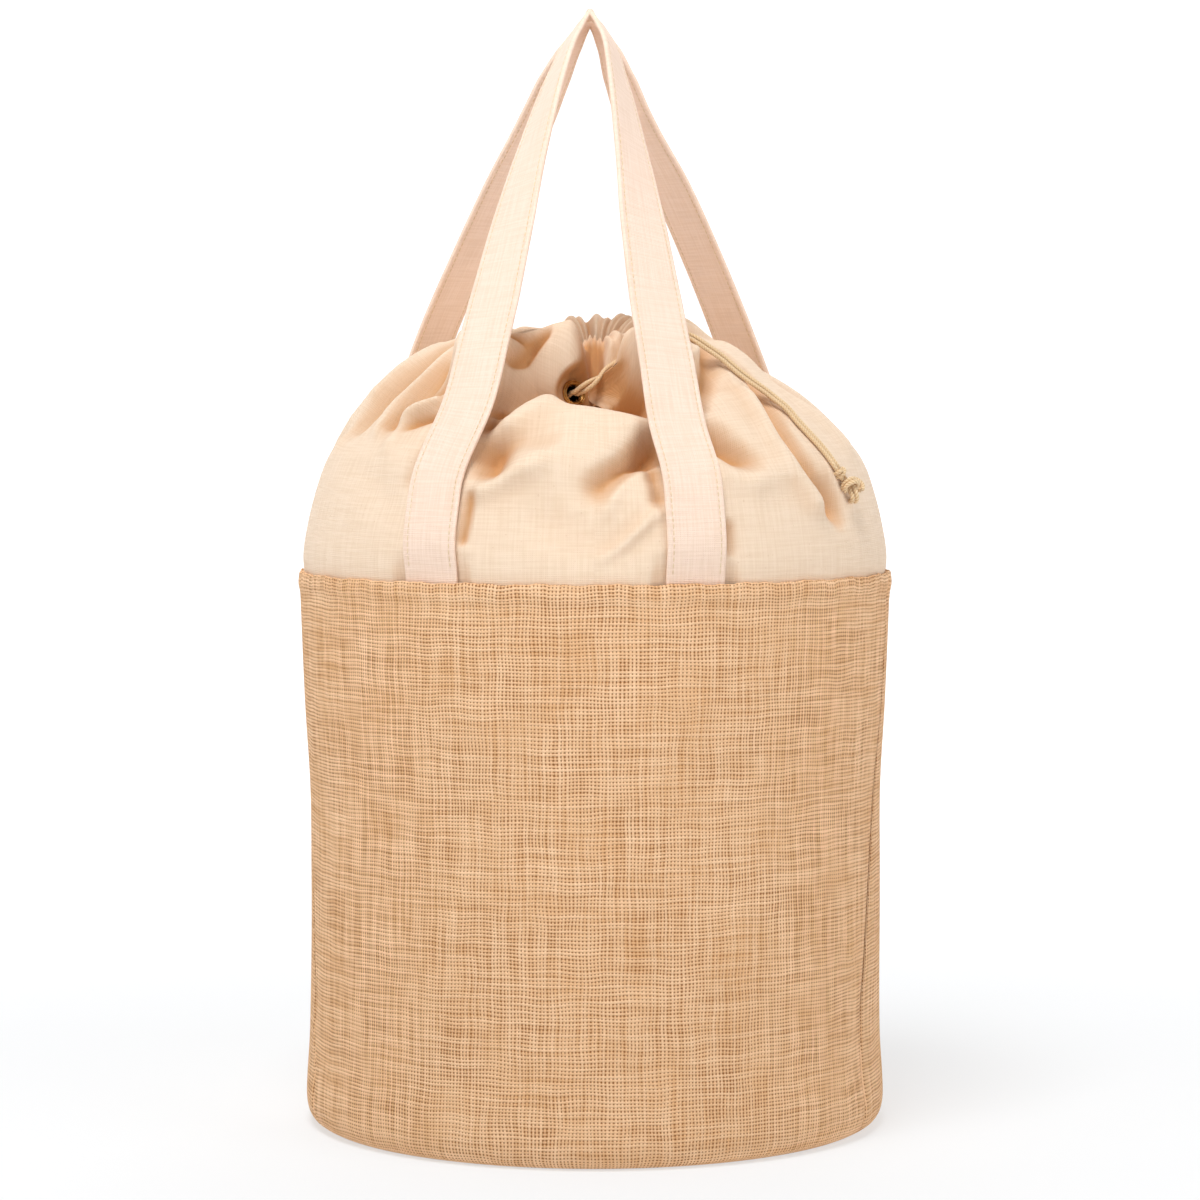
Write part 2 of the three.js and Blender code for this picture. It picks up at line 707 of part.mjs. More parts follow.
function roundTube(curve, diameter, steps, sides) {
  const corners = [];
  for (let i = 0; i < sides; i += 1) {
    const a = (2 * Math.PI * i) / sides;
    corners.push(new THREE.Vector2((diameter / 2) * Math.cos(a), (diameter / 2) * Math.sin(a)));
  }
  return new THREE.ExtrudeGeometry(new THREE.Shape(corners), { steps, extrudePath: curve, bevelEnabled: false });
}

// An overhand knot: the middle line of a trefoil with its ends drawn out as the tails
function knot() {
  const points = [];
  const count = 36;
  for (let i = 0; i <= count; i += 1) {
    const t = 0.5 + ((2 * Math.PI - 1.0) * i) / count;
    points.push(new THREE.Vector3(
      KNOT.scale * (Math.sin(t) + 2 * Math.sin(2 * t)),
      KNOT.scale * -Math.sin(3 * t),
      KNOT.scale * (Math.cos(t) - 2 * Math.cos(2 * t)),
    ));
  }
  const curve = new THREE.CatmullRomCurve3(points, false, 'centripetal');
  const geometry = roundTube(curve, KNOT.tube, 36, 8);
  geometry.rotateZ(KNOT.at * RADIANS);
  return geometry.translate(knotMiddle.x, knotMiddle.y, knotMiddle.z);
}

const jute = new THREE.MeshStandardMaterial({ color: '#d9b48a', roughness: 0.95, metalness: 0 });
const canvas = new THREE.MeshStandardMaterial({ color: '#f3dfc4', roughness: 0.9, metalness: 0 });
const webbing = new THREE.MeshStandardMaterial({ color: '#f1dcc0', roughness: 0.88, metalness: 0 });
const cotton = new THREE.MeshStandardMaterial({ color: '#ecd9ba', roughness: 0.9, metalness: 0 });
const brass = new THREE.MeshStandardMaterial({ color: '#8d7440', roughness: 0.4, metalness: 1 });

function piece(name, geometry, material) {
  const mesh = new THREE.Mesh(geometry, material);
  mesh.name = name;
  return mesh;
}

const bag = new THREE.Group();
bag.add(piece('jute_front_panel', juteFront(), jute));
bag.add(piece('jute_back_panel', juteBack(), jute));
bag.add(piece('jute_base', juteBase(), jute));
bag.add(piece('canvas_top', canvasTop(), canvas));
bag.add(piece('eyelet', eyelet(), brass));
for (const handle of handles) {
  bag.add(piece(handle.name, strap(handle.stations, handle.side), webbing));
}
bag.add(piece('drawcord_upper', cordStrand(cord, 1), cotton));
bag.add(piece('drawcord_lower', cordStrand(cord, -1), cotton));
bag.add(piece('drawcord_knot', knot(), cotton));

export default bag;
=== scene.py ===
"""Looks of the jute and canvas drawstring bucket bag, laid out as an add-on and run as a script.

Shapes are worked out in millimetres with numpy and put into meshes in metres. The front of the bag faces -Y, an
azimuth is in degrees, 0 at the front and positive towards +X, and s is the way up the canvas from the jute's rim.
"""

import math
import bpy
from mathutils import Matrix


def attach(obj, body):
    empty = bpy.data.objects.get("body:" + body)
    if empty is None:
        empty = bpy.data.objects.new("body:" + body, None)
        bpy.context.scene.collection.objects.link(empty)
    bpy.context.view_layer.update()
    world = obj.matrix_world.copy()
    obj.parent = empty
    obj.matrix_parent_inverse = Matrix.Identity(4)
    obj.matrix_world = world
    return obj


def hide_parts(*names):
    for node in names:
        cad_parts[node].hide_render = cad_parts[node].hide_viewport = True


bl_info = {
    "name": "Drawstring Bucket Bag",
    "version": (1, 0, 0),
    "blender": (4, 5, 0),
    "location": "View3D > Sidebar > Bag",
    "description": "Jute bucket bag with a gathered canvas top, two strap handles and a knotted drawcord",
    "category": "Object",
}

import bpy
import numpy as np

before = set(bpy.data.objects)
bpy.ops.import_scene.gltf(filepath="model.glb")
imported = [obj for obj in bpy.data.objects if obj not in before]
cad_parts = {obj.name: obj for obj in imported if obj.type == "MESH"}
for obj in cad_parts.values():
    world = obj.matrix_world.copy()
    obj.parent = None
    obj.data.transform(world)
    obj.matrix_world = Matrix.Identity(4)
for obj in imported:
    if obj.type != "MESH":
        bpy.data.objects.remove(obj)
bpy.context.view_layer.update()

MM = 0.001
RADIANS = math.pi / 180

# Sizes that the solids have too
JUTE_THICK = 1.8
BASE_RADIUS = 139.4
BASE_THICK = 2.4
STRAP_WIDTH = 30.0
STRAP_THICK = 2.4
CORD_SPACING = 2.9
CORD_TWISTS = 1.5
CORD_TWISTED_LENGTH = 46.0
EYELET_OUTER = 13.6
EYELET_BORE = 8.6
CANVAS_THICK = 1.2
# Ridges of one strand of cord: how many, and how far they turn, in radians a millimetre
CORD_STRANDS = 3
CORD_LAY = 4.5

# Outer face of the jute wall: height, radius
WALL = np.array([
    (0.5, 140.8), (2.6, 144.6), (7.5, 147.4), (16, 148.3), (47, 146.8), (130, 146.3), (172, 146.2), (215, 148.4),
    (262, 150.2), (271, 150.5), (276, 151.3), (281, 150.9),
])
# Side seams: height, azimuth of the left one, azimuth of the right one
SEAMS = np.array([(0, -73, 66), (110, -80, 69), (200, -92, 76), (281, -99, 80)], float)
SEAM_GAP = 0.5
# Radius by which turns become millimetres: at the seams, along the jute's cloth, and along the canvas
SEAM_RADIUS = 147
JUTE_ROUND = 148
CANVAS_ROUND = 148.3
# Heights where the hem starts and where the wall ends
HEM_FROM = 262
WALL_TOP = 281
# Soft dents of the wall: azimuth, height, half width in degrees, half height, depth
WALL_DENTS = [
    (71, 52, 12, 38, 2.2), (62, 20, 8, 12, -1.0), (-78, 110, 14, 60, 1.4), (-20, 150, 26, 70, 0.8),
    (30, 90, 24, 60, -0.8), (130, 120, 26, 80, 1.6), (-150, 90, 24, 70, 1.2),
]

# Meridian of the canvas: s, radius, height
MERIDIAN = np.array([
    (-14, 147.7, 266), (0, 148.3, 280), (9, 148.9, 289), (19, 147.8, 299), (38, 143.6, 318), (59, 136.8, 338),
    (72, 129.5, 348.5), (86, 120.5, 358.5), (115, 99.5, 378.5), (131, 87, 389), (147, 73, 395.5), (164, 57, 399.5),
    (179, 42, 401.5), (191, 30, 401.5), (201, 21.5, 398), (213, 15.5, 389), (228, 13.5, 375),
])
# Mouth: how far forward its middle lies, and the radii between which the canvas is drawn there
MOUTH_Y = -14.0
MOUTH_FROM = 110.0
MOUTH_TO = 28.0

# Folds of the canvas that the solids have too: width, then places along the fold as azimuth, s and height
FOLDS = {
    "hollow": (24, [(-18, 128, -37), (13, 126, -37)]),
    "lip left": (8, [(-22, 80, 11), (-12, 103, 11)]),
    "lip right": (8, [(-10, 96, 6), (12, 84, 6)]),
    "left lobe": (13, [(-38, 128, 26), (-11, 156, 26)]),
    "left lobe crease": (6, [(-38, 158, -8), (-18, 190, -8)]),
    "right lobe": (12, [(20, 158, 26), (29, 148, 26)]),
    "lobe gap": (5.5, [(0, 138, -12), (1, 178, -12)]),
    "cord valley": (9, [(2, 152, -16), (16, 168, -16)]),
    "belly": (20, [(-9, 62, 4), (-6, 80, 4)]),
    "front valley top": (8, [(13, 78, -6), (12, 64, -6)]),
    "front valley": (8, [(12, 64, -4), (1, 50, -4)]),
    "left strap valley": (8, [(-21, 74, -5), (-20, 58, -5)]),
    "left strap ridge": (8, [(-22, 48, 2.5), (-12, 58, 2.5)]),
    "left shoulder trough 1": (6, [(-72, 150, -4.5), (-68, 84, -4.5)]),
    "left shoulder ridge 1": (7, [(-80, 150, 3.5), (-76, 70, 3.5)]),
    "left shoulder ridge 2": (6, [(-63, 150, 3.5), (-58, 80, 3.5)]),
    "left shoulder trough 2": (5, [(-51, 122, -4), (-53, 84, -4)]),
    "left shoulder ridge 3": (6, [(-45, 104, 2.5), (-50, 70, 2.5)]),
    "right shoulder ridge": (7, [(43, 140, 3.5), (49, 40, 3.5)]),
    "right shoulder trough": (5, [(50, 140, -4), (54, 36, -4)]),
    "right strap dimple": (9, [(28, 78, -5), (31, 64, -5)]),
    "right side ridge": (8, [(68, 150, 3), (72, 70, 3)]),
    "right side trough": (8, [(82, 150, -3.5), (86, 70, -3.5)]),
    "right shoulder low": (22, [(74, 120, -6), (108, 140, -6)]),
    "back trough 1": (9, [(112, 160, -4.5), (118, 64, -4.5)]),
    "back ridge 1": (9, [(128, 160, 4), (134, 76, 4)]),
    "back trough 2": (9, [(150, 160, -5), (152, 60, -5)]),
    "back ridge 2": (10, [(168, 164, 5), (172, 70, 5)]),
    "back trough 3": (8, [(-172, 160, -4.5), (-168, 66, -4.5)]),
    "back ridge 3": (9, [(-152, 164, 4), (-148, 74, 4)]),
    "back trough 4": (8, [(-134, 160, -4), (-128, 64, -4)]),
    "back ridge 4": (8, [(-116, 160, 3.5), (-110, 76, 3.5)]),
    "left side trough": (7, [(-96, 156, -3.5), (-92, 72, -3.5)]),
    "crown right": (15, [(104, 180, 9), (190, 186, 9)]),
    "crown left": (10, [(-120, 168, 3), (-130, 172, 3)]),
}
# Sharper creases that the solids leave out, in the same form
CREASES = {
    "left band": (7.5, [
        (-71, 138, -5), (-68.5, 118, -6.5), (-69, 106, -6.5), (-71, 93, -5.5), (-73.5, 81, -4), (-77, 72, -1)]),
    "left band edge": (3.8, [(-56.5, 132, 1.5), (-56.5, 117, 1.5), (-57.5, 103, 1.5), (-60, 91, 1.5), (-65.5, 78, 1)]),
    "left outer ridge": (6.5, [(-86, 140, 4), (-80, 118, 6), (-79, 102, 6), (-82, 85, 4.5), (-85, 74, 2)]),
    "second band": (4.2, [(-45, 110, -7), (-48.5, 99, -8), (-52, 93, -7), (-55, 85, -2)]),
    "second band edge": (2.8, [(-42, 98, 5), (-45.5, 92, 5.5), (-49, 87, 4.5), (-53, 80, 1)]),
    "third crease": (2.4, [(-40.5, 90, -4), (-45, 85, -4), (-48.5, 78, -1)]),
    "left strap dimple": (6.5, [(-37, 66, -4.5), (-39, 52, -3)]),
    "left low valley": (11, [(-61.5, 59, -1), (-51, 49, -2.4), (-43.5, 41, -2.4), (-38.5, 31, -1)]),
    "wedge by left strap": (7, [(-23, 77, -7), (-22.5, 66, -9), (-22, 57, -6)]),
    "ridge under wedge": (5, [(-22.5, 47, 3), (-19, 51, 4), (-13, 57, 3), (-7, 65, 1)]),
    "dip under lip": (7, [(-20, 74, -4), (-10.5, 73, -2)]),
    "diagonal": (6.5, [(13, 75, -11), (9, 66, -10), (5.5, 59, -8), (3, 54, -5), (0.5, 48, -3), (-0.5, 42, -1)]),
    "diagonal edge": (4, [(12.5, 60, 4), (7.5, 55.5, 4), (4.5, 48, 3.5), (2.5, 38, 1.5)]),
    "strap hollow": (4, [(12, 57, -5), (12.5, 43, -4)]),
    "belly valley": (14, [(-6, 42, -2), (-7, 32, -3), (-2.5, 25, -3), (3, 21, -2)]),
    "low right ridge": (3, [(11.5, 35, 2.2), (8.5, 28, 2.6), (4.5, 19, 2), (1, 14, 1)]),
    "left strap slit": (2.6, [(-24.5, 43, -2.5), (-25.5, 23, -2.5)]),
    "right strap spot": (6.5, [(27, 84, -5), (28.5, 73, -7), (33, 64, -4), (38, 60, -1)]),
    "right strap ridge": (7, [(26, 57, 2), (33.5, 51, 3.5), (40, 55, 2)]),
    "right strap low": (4, [(25.5, 28, -3.5), (26, 18, -2.5)]),
    "right strap high": (5, [(40, 138, -3), (33, 115, -4), (28.5, 100, -3)]),
    "long valley": (4.6, [
        (52, 121, -2), (48.5, 99, -6), (47.5, 80, -7), (48, 66, -6), (50, 52, -7), (52.5, 42, -7), (55.5, 31, -3)]),
    "long valley edge": (5, [(44, 112, 2), (43, 94, 3.5), (42.5, 73, 3), (44.5, 54, 3), (48, 38, 1.5)]),
    "cord cushion": (6, [(57, 98, 1.5), (56, 80, 2.5), (57, 55, 3.5), (61, 40, 2)]),
    "right lobe front": (8, [(11, 140, 36), (18, 136, 38), (28, 128, 34)]),
    "right lobe crease": (2.6, [(7.5, 141, -6), (11.4, 131, -9), (17, 123.5, -8)]),
    "short crease": (2, [(7, 131, -4), (8.5, 127, -5), (8, 122, -3)]),
    "lobe slit": (4.2, [(-1, 140, -12), (-1, 152, -18), (-2, 163, -22), (-1, 174, -22), (0, 186, -16)]),
    "lip corner": (6, [(-25, 86, -6), (-20, 89, -5), (-16, 95, -1)]),
    "left lobe face": (9, [(-32, 120, 6), (-20, 126, 9), (-14, 138, 7)]),
    "under left lobe": (5, [(-25, 100, -8), (-18, 104, -9), (-13, 109, -5)]),
    "left lobe fold": (2.4, [(-29, 131, -4), (-26, 140, -7), (-23.5, 147, -7), (-20, 152, -4)]),
    "second lobe fold": (2.2, [(-31, 144, -4), (-25, 148, -5), (-22, 152, -2)]),
    "tab by the mouth": (2.8, [(3, 158, 5), (5, 168, 5)]),
}

# Creases whose sides touch, so hardly any light gets in, which get painted shade in the canvas colour, and the depth at
# which a crease counts as closed, where that painted shade is full
PAINTED_SHADE_CREASES = [
    "lobe slit", "right lobe crease", "short crease", "left lobe fold", "second lobe fold", "under left lobe",
    "left strap slit", "third crease",
]
FULL_SHADE_DEPTH = 9

# Pleats at the mouth: how many, how uneven, their phase, and their depth at each s
PLEAT_COUNT = 12
PLEAT_UNEVEN = 1.4
PLEAT_PHASE = 0.5
PLEAT_DEPTH = np.array([(-14, 0), (120, 0), (150, 0.7), (175, 1.4), (195, 1.5), (212, 1.4), (228, 1.2)])

# Straps between their feet: place of the middle, and the turn of the width from +X
FRONT_STRAP = [
    (-61.2, -107, 368, 32), (-54.1, -93.5, 397, 34), (-49.2, -83.5, 418, 36), (-40.5, -65.5, 456, 47),
    (-32.6, -50.5, 488, 60), (-20, -31.5, 530, 74), (-11.2, -21.5, 551, 82), (-2.5, -16.2, 561.5, 90),
    (6.2, -21.5, 551, 98), (11.8, -31.5, 530, 105), (19.3, -51, 488, 121), (23.9, -67, 457, 135),
    (29.8, -87.5, 418, 147), (35.2, -104, 386, 152), (39.7, -119, 358, 157),
]
BACK_STRAP = [
    (-96, 87, 368, 49), (-83.6, 75, 403, 50), (-66, 60, 441.7, 50), (-47.5, 46.5, 480, 51), (-30.6, 34, 512, 54),
    (-21, 26.5, 533, 61), (-12.5, 20.5, 549, 74), (-2.5, 16.2, 561.5, 90), (6.8, 20.5, 549, 106), (13, 26.5, 533, 120),
    (21.2, 34, 512, 128), (39, 48.5, 480, 132), (56.8, 64.5, 441.7, 134), (73, 80, 403, 136), (86, 95, 368, 137),
]
# Each strap: its free rows, the side it hangs on, and azimuth and turn of both feet
STRAPS = {
    "handle_front": (FRONT_STRAP, -1, (-32.3, 32.3), (19.2, 160.8)),
    "handle_back": (BACK_STRAP, 1, (-132, 48), (138, 138)),
}
# How each foot climbs the canvas: height, radius
FOOT = [(267, 145.9), (284, 146.5), (300, 148.6), (318, 145.6), (335, 140.0)]

# Eyelet: middle of its hole on the cloth, the way it faces, and how far the cloth lies flat round it
EYELET_MIDDLE = np.array([-10.5, -65.8, 372.0])
EYELET_TURN = 36.0
EYELET_TIP = 10.0
EYELET_SEAT = 14.5

# Middle line of the drawcord pair over the right shoulder, in millimetres as in the solids
CORD_ROUTE = np.array([
    (-2.5, -70, 376.5), (4, -66.5, 381.5), (10, -62, 386), (15.5, -58.5, 393.5), (22, -54, 401.5), (31, -56, 404),
    (40, -67, 403), (48, -77, 399.5), (55, -75.5, 395), (63, -72.5, 389.5), (69.5, -71.5, 384), (76, -70.5, 379),
    (82.5, -69.5, 374.5), (89, -69, 369.5), (95, -70, 364.5), (100, -71.5, 358.5), (105.5, -73, 352.5),
    (111, -75, 346.5), (115, -76, 341.5), (118.5, -77, 336.5),
])
# Knot: azimuth, height and radius of its middle, and the step from there to where the pair goes in
KNOT_AT = 60.2
KNOT_Z = 325.2
KNOT_R = 146.6
KNOT_ENTRY = np.array([-4, -0.4, 4])
# Furrow under the cord: half its width, and how wide its soft sides are
FURROW_REACH = 5.0
FURROW_SOFT = 6.0

# Camera: focal length in millimetres on a 36 mm sensor, place in metres, and tilt from straight down
LENS = 117.3
SENSOR = 36.0
CAMERA_PLACE = (0.0026, -2.0, 0.380)
CAMERA_TILT = 86.74
# Lamps: place and aim in metres, size in metres, power in watts
LAMPS = {
    "top_light": ((-0.3, -0.9, 2.1), (0, 0, 0.3), 0.8, 32),
    "left_light": ((-1.8, -1.3, 0.8), (0, 0, 0.3), 1.4, 8),
    "right_light": ((1.8, -1.3, 0.8), (0, 0, 0.3), 1.4, 13),
    "back_light": ((0.2, 1.6, 1.7), (0, 0, 0.35), 1.2, 6),
}
# Seamless paper, in millimetres: how far it reaches, the radius of its bend, and the height of its back
FLOOR_REACH = 20000
FLOOR_BEND = 1500
FLOOR_BACK = 5000


def linear(code):
    """Linear colour from an sRGB hex value: the standard curve, with its straight toe under 0.04045."""
    value = [int(code[i:i + 2], 16) / 255 for i in (1, 3, 5)]
    return tuple(c / 12.92 if c <= 0.04045 else ((c + 0.055) / 1.055) ** 2.4 for c in value)


def length_setting(name, description, default, low, high, precision=4):
    """A property that holds a length in metres."""
    return bpy.props.FloatProperty(
        name=name, description=description, default=default, min=low, max=high, precision=precision, unit="LENGTH")


def colour_setting(name, description, code):
    """A property that holds a colour, from its sRGB hex value."""
    return bpy.props.FloatVectorProperty(
        name=name, description=description, subtype="COLOR", min=0, max=1, default=linear(code))


class BagSettings(bpy.types.PropertyGroup):
    """Sizes and colours of the bag that a user may change."""

    jute_pitch: length_setting("Jute thread pitch", "From one jute thread to the next", 0.00178, 0.0008, 0.004, 5)
    canvas_pitch: length_setting(
        "Canvas thread pitch", "From one canvas thread to the next, drawn coarser than the real 0.5 mm",
        0.0009, 0.0004, 0.002, 5)
    cord_diameter: length_setting("Cord diameter", "Thickness of one strand of the drawcord", 0.0023, 0.0015, 0.0026)
    stitch_length: length_setting("Stitch length", "Length of one stitch on the straps", 0.0031, 0.002, 0.005)
    stitch_inset: length_setting("Stitch inset", "From the strap's edge to its row of stitches", 0.003, 0.0015, 0.006)
    jute_colour: colour_setting("Jute", "Colour of the jute threads", "#f3c699")
    canvas_colour: colour_setting("Canvas", "Colour of the canvas top", "#eed7bf")
    strap_colour: colour_setting("Straps", "Colour of the strap cloth", "#f9e0ce")
    cord_colour: colour_setting("Cord", "Colour of the cotton cord", "#efd6b2")
    brass_colour: colour_setting("Brass", "Colour of the aged brass", "#cda566")


def settings():
    return bpy.context.scene.bag


# Shapes

def ease(t):
    """Smooth step from 0 to 1: three t squared less two t cubed, between 0 and 1."""
    c = np.clip(t, 0, 1)
    return c * c * (3 - 2 * c)


def unit(v):
    """Vectors of length 1 along the last axis."""
    return v / np.maximum(np.linalg.norm(v, axis=-1, keepdims=True), 1e-12)


def polar(at, r, z):
    """Point from azimuth, radius and height: r sin at, minus r cos at, z."""
    at, r, z = np.broadcast_arrays(at, r, z)
    return np.stack([r * np.sin(at * RADIANS), -r * np.cos(at * RADIANS), z], -1).astype(float)


def through(table, value, column=1):
    """Smooth curve through a table's rows: cubic Hermite, each row's slope taken from its two neighbours."""
    xs, ys = table[:, 0].astype(float), table[:, column].astype(float)
    last = len(xs) - 1
    low = np.maximum(np.arange(last + 1) - 1, 0)
    high = np.minimum(np.arange(last + 1) + 1, last)
    slope = (ys[high] - ys[low]) / (xs[high] - xs[low])
    t = np.clip(value, xs[0], xs[-1])
    i = np.clip(np.searchsorted(xs, t, side="right") - 1, 0, last - 1)
    span = xs[i + 1] - xs[i]
    u = (t - xs[i]) / span
    rise = (2 * u**3 - 3 * u**2 + 1) * ys[i] + (3 * u**2 - 2 * u**3) * ys[i + 1]
    return rise + ((u**3 - 2 * u**2 + u) * slope[i] + (u**3 - u**2) * slope[i + 1]) * span


def curve_at(points, place):
    """Catmull-Rom curve whose knots are spaced by the root of the distance, at places counted in points."""
    p = np.asarray(points, float)
    p = np.vstack([2 * p[0] - p[1], p, 2 * p[-1] - p[-2]])
    i = np.minimum(place.astype(int), len(p) - 4)
    u = (place - i)[:, None]
    a, b, c, d = p[i], p[i + 1], p[i + 2], p[i + 3]
    t0, t1, t2 = (np.sqrt(np.linalg.norm(n - m, axis=1))[:, None] for m, n in ((a, b), (b, c), (c, d)))
    m1 = ((b - a) / t0 - (c - a) / (t0 + t1) + (c - b) / t1) * t1
    m2 = ((c - b) / t1 - (d - b) / (t1 + t2) + (d - c) / t2) * t1
    return b + u * m1 + u**2 * (3 * c - 3 * b - 2 * m1 - m2) + u**3 * (2 * b - 2 * c + m1 + m2)


def walked_along(path):
    """Distance walked along a path at each of its points."""
    return np.concatenate([[0], np.cumsum(np.linalg.norm(np.diff(path, axis=0), axis=-1))])


def off_axis(offset, axis):
    """How far each offset lies along the axis, and how far from it."""
    out = (offset * axis).sum(-1)
    return out, np.sqrt(np.maximum(0, (offset**2).sum(-1) - out**2))


def even_path(points, count):
    """The curve through the points with count points at even steps along its length."""
    dense = curve_at(points, np.linspace(0, len(points) - 1, 40 * len(points)))
    walked = walked_along(dense)
    steps = np.linspace(0, walked[-1], count)
    return np.stack([np.interp(steps, walked, dense[:, k]) for k in range(3)], -1), walked[-1]


def grid_faces(rows, columns, closed=False, start=0):
    """Quads of a grid of points: each row's neighbours joined to the next row's, round to the start if closed."""
    i, j = np.meshgrid(np.arange(rows - 1), np.arange(columns if closed else columns - 1), indexing="ij")
    k = (j + 1) % columns
    quad = [i * columns + j, i * columns + k, (i + 1) * columns + k, (i + 1) * columns + j]
    return np.stack(quad, -1).reshape(-1, 4) + start


def make_piece(name, points, faces, material, uv=None, uv_faces=None, values=None, replaces=(), slot=None):
    """A smooth mesh object at the origin, from points in millimetres and arrays of faces of one size each."""
    faces = faces if isinstance(faces, list) else [faces]
    loops = np.concatenate([f.ravel() for f in faces]).astype(np.int32)
    sizes = np.concatenate([np.full(len(f), f.shape[1]) for f in faces])
    starts = np.concatenate([[0], np.cumsum(sizes)[:-1]]).astype(np.int32)
    mesh = bpy.data.meshes.new(name)
    mesh.vertices.add(len(points))
    mesh.vertices.foreach_set("co", (np.asarray(points, float) * MM).astype(np.float32).ravel())
    mesh.loops.add(len(loops))
    mesh.loops.foreach_set("vertex_index", loops)
    mesh.polygons.add(len(sizes))
    mesh.polygons.foreach_set("loop_start", starts)
    mesh.update(calc_edges=True)
    mesh.validate()
    mesh.polygons.foreach_set("use_smooth", np.ones(len(mesh.polygons), bool))
    if uv is not None:
        order = loops if uv_faces is None else uv_faces.ravel()
        layer = mesh.uv_layers.new(name="Cloth")
        layer.data.foreach_set("uv", (np.asarray(uv, float) * MM)[order].astype(np.float32).ravel())
    for key, column in (values or {}).items():
        mesh.attributes.new(key, "FLOAT", "POINT").data.foreach_set("value", np.asarray(column, np.float32).ravel())
    piece = bpy.data.objects.new(name, mesh)
    bpy.context.scene.collection.objects.link(piece)
    mesh.materials.append(material)
    if slot:
        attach(piece, "root")
    if replaces:
        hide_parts(*replaces)
    return piece


def seam_at(side, z):
    """Azimuth of a side seam at a height: the smooth curve through its rows."""
    return through(SEAMS, z, side)


def wall_radius(at, z):
    """Radius of the jute: the smooth profile, less a Gaussian hollow for each dent."""
    r = through(WALL, z)
    for at0, z0, wide, high, depth in WALL_DENTS:
        turned = (at - at0 + 180) % 360 - 180
        r = r - depth * np.exp(-(turned / wide) ** 2 - ((z - z0) / high) ** 2) * ease(z / 16)
    return r


def jute_panel(low_edge, high_edge):
    """Points, quads, cloth places and painted seam shade of one jute panel.

    Up the outer face, over the folded hem and down the inner face; across from one seam to the other. The radius
    is the wall's, drawn in by 1.3 mm at each seam within about 2 mm, with a low uneven swell along the hem.
    """
    z = np.unique(np.concatenate([np.linspace(0.5, 16, 14), np.linspace(16, HEM_FROM, 84),
                                  np.linspace(HEM_FROM, WALL_TOP, 22)]))
    across = np.linspace(0, 1, 340)
    across = across - 0.7 * np.sin(2 * math.pi * across) / (2 * math.pi)
    low, high = low_edge(z)[:, None], high_edge(z)[:, None]
    half = SEAM_GAP / 2 / SEAM_RADIUS / RADIANS
    at = low + half + (high - low - 2 * half) * across[None, :]
    tall = np.broadcast_to(z[:, None], at.shape)
    r = wall_radius(at, tall)
    from_seam = np.minimum(at - low, high - at) * RADIANS * SEAM_RADIUS
    r = r - 1.3 * np.exp(-(from_seam / 1.6) ** 2) * ease(tall / 14)
    pucker = np.sin(tall / 6.3) * np.exp(-(from_seam / 7) ** 2) * ease((120 - tall) / 90) * ease(tall / 16)
    wave = np.sin(at * 0.31 + 1) + 0.6 * np.sin(at * 0.83 + 2) + 0.4 * np.sin(at * 1.9)
    r = r + 0.5 * pucker + 0.22 * wave * ease((tall - HEM_FROM) / 12)
    swell = np.sin(at * 0.47) + 0.7 * np.sin(at * 1.31 + 2) + 0.5 * np.sin(at * 3.3)
    rim = tall + 0.35 * swell * ease((tall - 268) / 13)
    outer = polar(at, r, rim)
    cover = polar(at[-1:], r[-1:] - 0.9, rim[-1:] + 0.7)
    thick = JUTE_THICK + 1.2 * ease((tall - 263) / 3)
    inner = polar(at, r - thick * ease((tall + 8) / 12), tall)
    points = np.concatenate([outer, cover, inner[::-1]])
    rows, columns = points.shape[:2]
    walked = walked_along(points[:, columns // 2])
    arc = at * RADIANS * JUTE_ROUND
    arc = np.concatenate([arc, arc[-1:], arc[::-1]])
    uv = np.stack([arc, np.broadcast_to(walked[:, None], arc.shape)], -1).reshape(-1, 2)
    faces = grid_faces(rows, columns)
    j = np.arange(columns - 1)
    foot = np.stack([j + 1, j, (rows - 1) * columns + j, (rows - 1) * columns + j + 1], -1)
    ring = np.arange(rows) * columns
    left = np.stack([ring[:rows // 2 - 1], ring[1:rows // 2], ring[::-1][1:rows // 2], ring[::-1][:rows // 2 - 1]], -1)
    right = left[:, ::-1] + columns - 1
    # Painted shade along each side seam, where the panels fold into each other, from about 50 mm up to the hem.
    painted_shade = np.exp(-(from_seam / 1.5) ** 2) * ease((258 - tall) / 6) * ease((tall - 50) / 30)
    seam = np.concatenate([painted_shade, painted_shade[-1:], painted_shade[::-1]])
    return points.reshape(-1, 3), [faces, foot, left, right], uv, seam.ravel()


def handle_stations(strap, count):
    """Middle, width and outer face of a strap at each station.

    The middle runs along the curve through both feet and the free rows, closer together at the apex; the width
    turns evenly between rows and is squared to the tangent; the face is the width crossed with the tangent.
    """
    free, side, (at_a, turn_a), (at_b, turn_b) = STRAPS[strap]
    foot_a = [(*polar(at_a, r, z), turn_a) for z, r in FOOT]
    foot_b = [(*polar(at_b, r, z), turn_b) for z, r in FOOT]
    rows = np.array(foot_a + list(free) + foot_b[::-1], float)
    u = np.linspace(-1, 1, count)
    place = (0.5 + 0.5 * (0.62 * u + 0.38 * u**3)) * (len(rows) - 1)
    middle = curve_at(rows[:, :3], place)
    tangent = unit(np.gradient(middle, axis=0))
    turn = np.interp(place, np.arange(len(rows)), rows[:, 3]) * RADIANS
    width = np.stack([np.cos(turn), side * np.sin(turn), 0 * turn], -1)
    width = unit(width - (width * tangent).sum(-1, keepdims=True) * tangent)
    return middle, width, np.cross(width, tangent) * -side


def canvas_base(at, s):
    """Canvas before its folds: the meridian turned round, and drawn towards the mouth's own middle near the top."""
    r = through(MERIDIAN, s)
    p = polar(at, r, through(MERIDIAN, s, 2))
    p[..., 1] += MOUTH_Y * ease((MOUTH_FROM - r) / (MOUTH_FROM - MOUTH_TO))
    return p


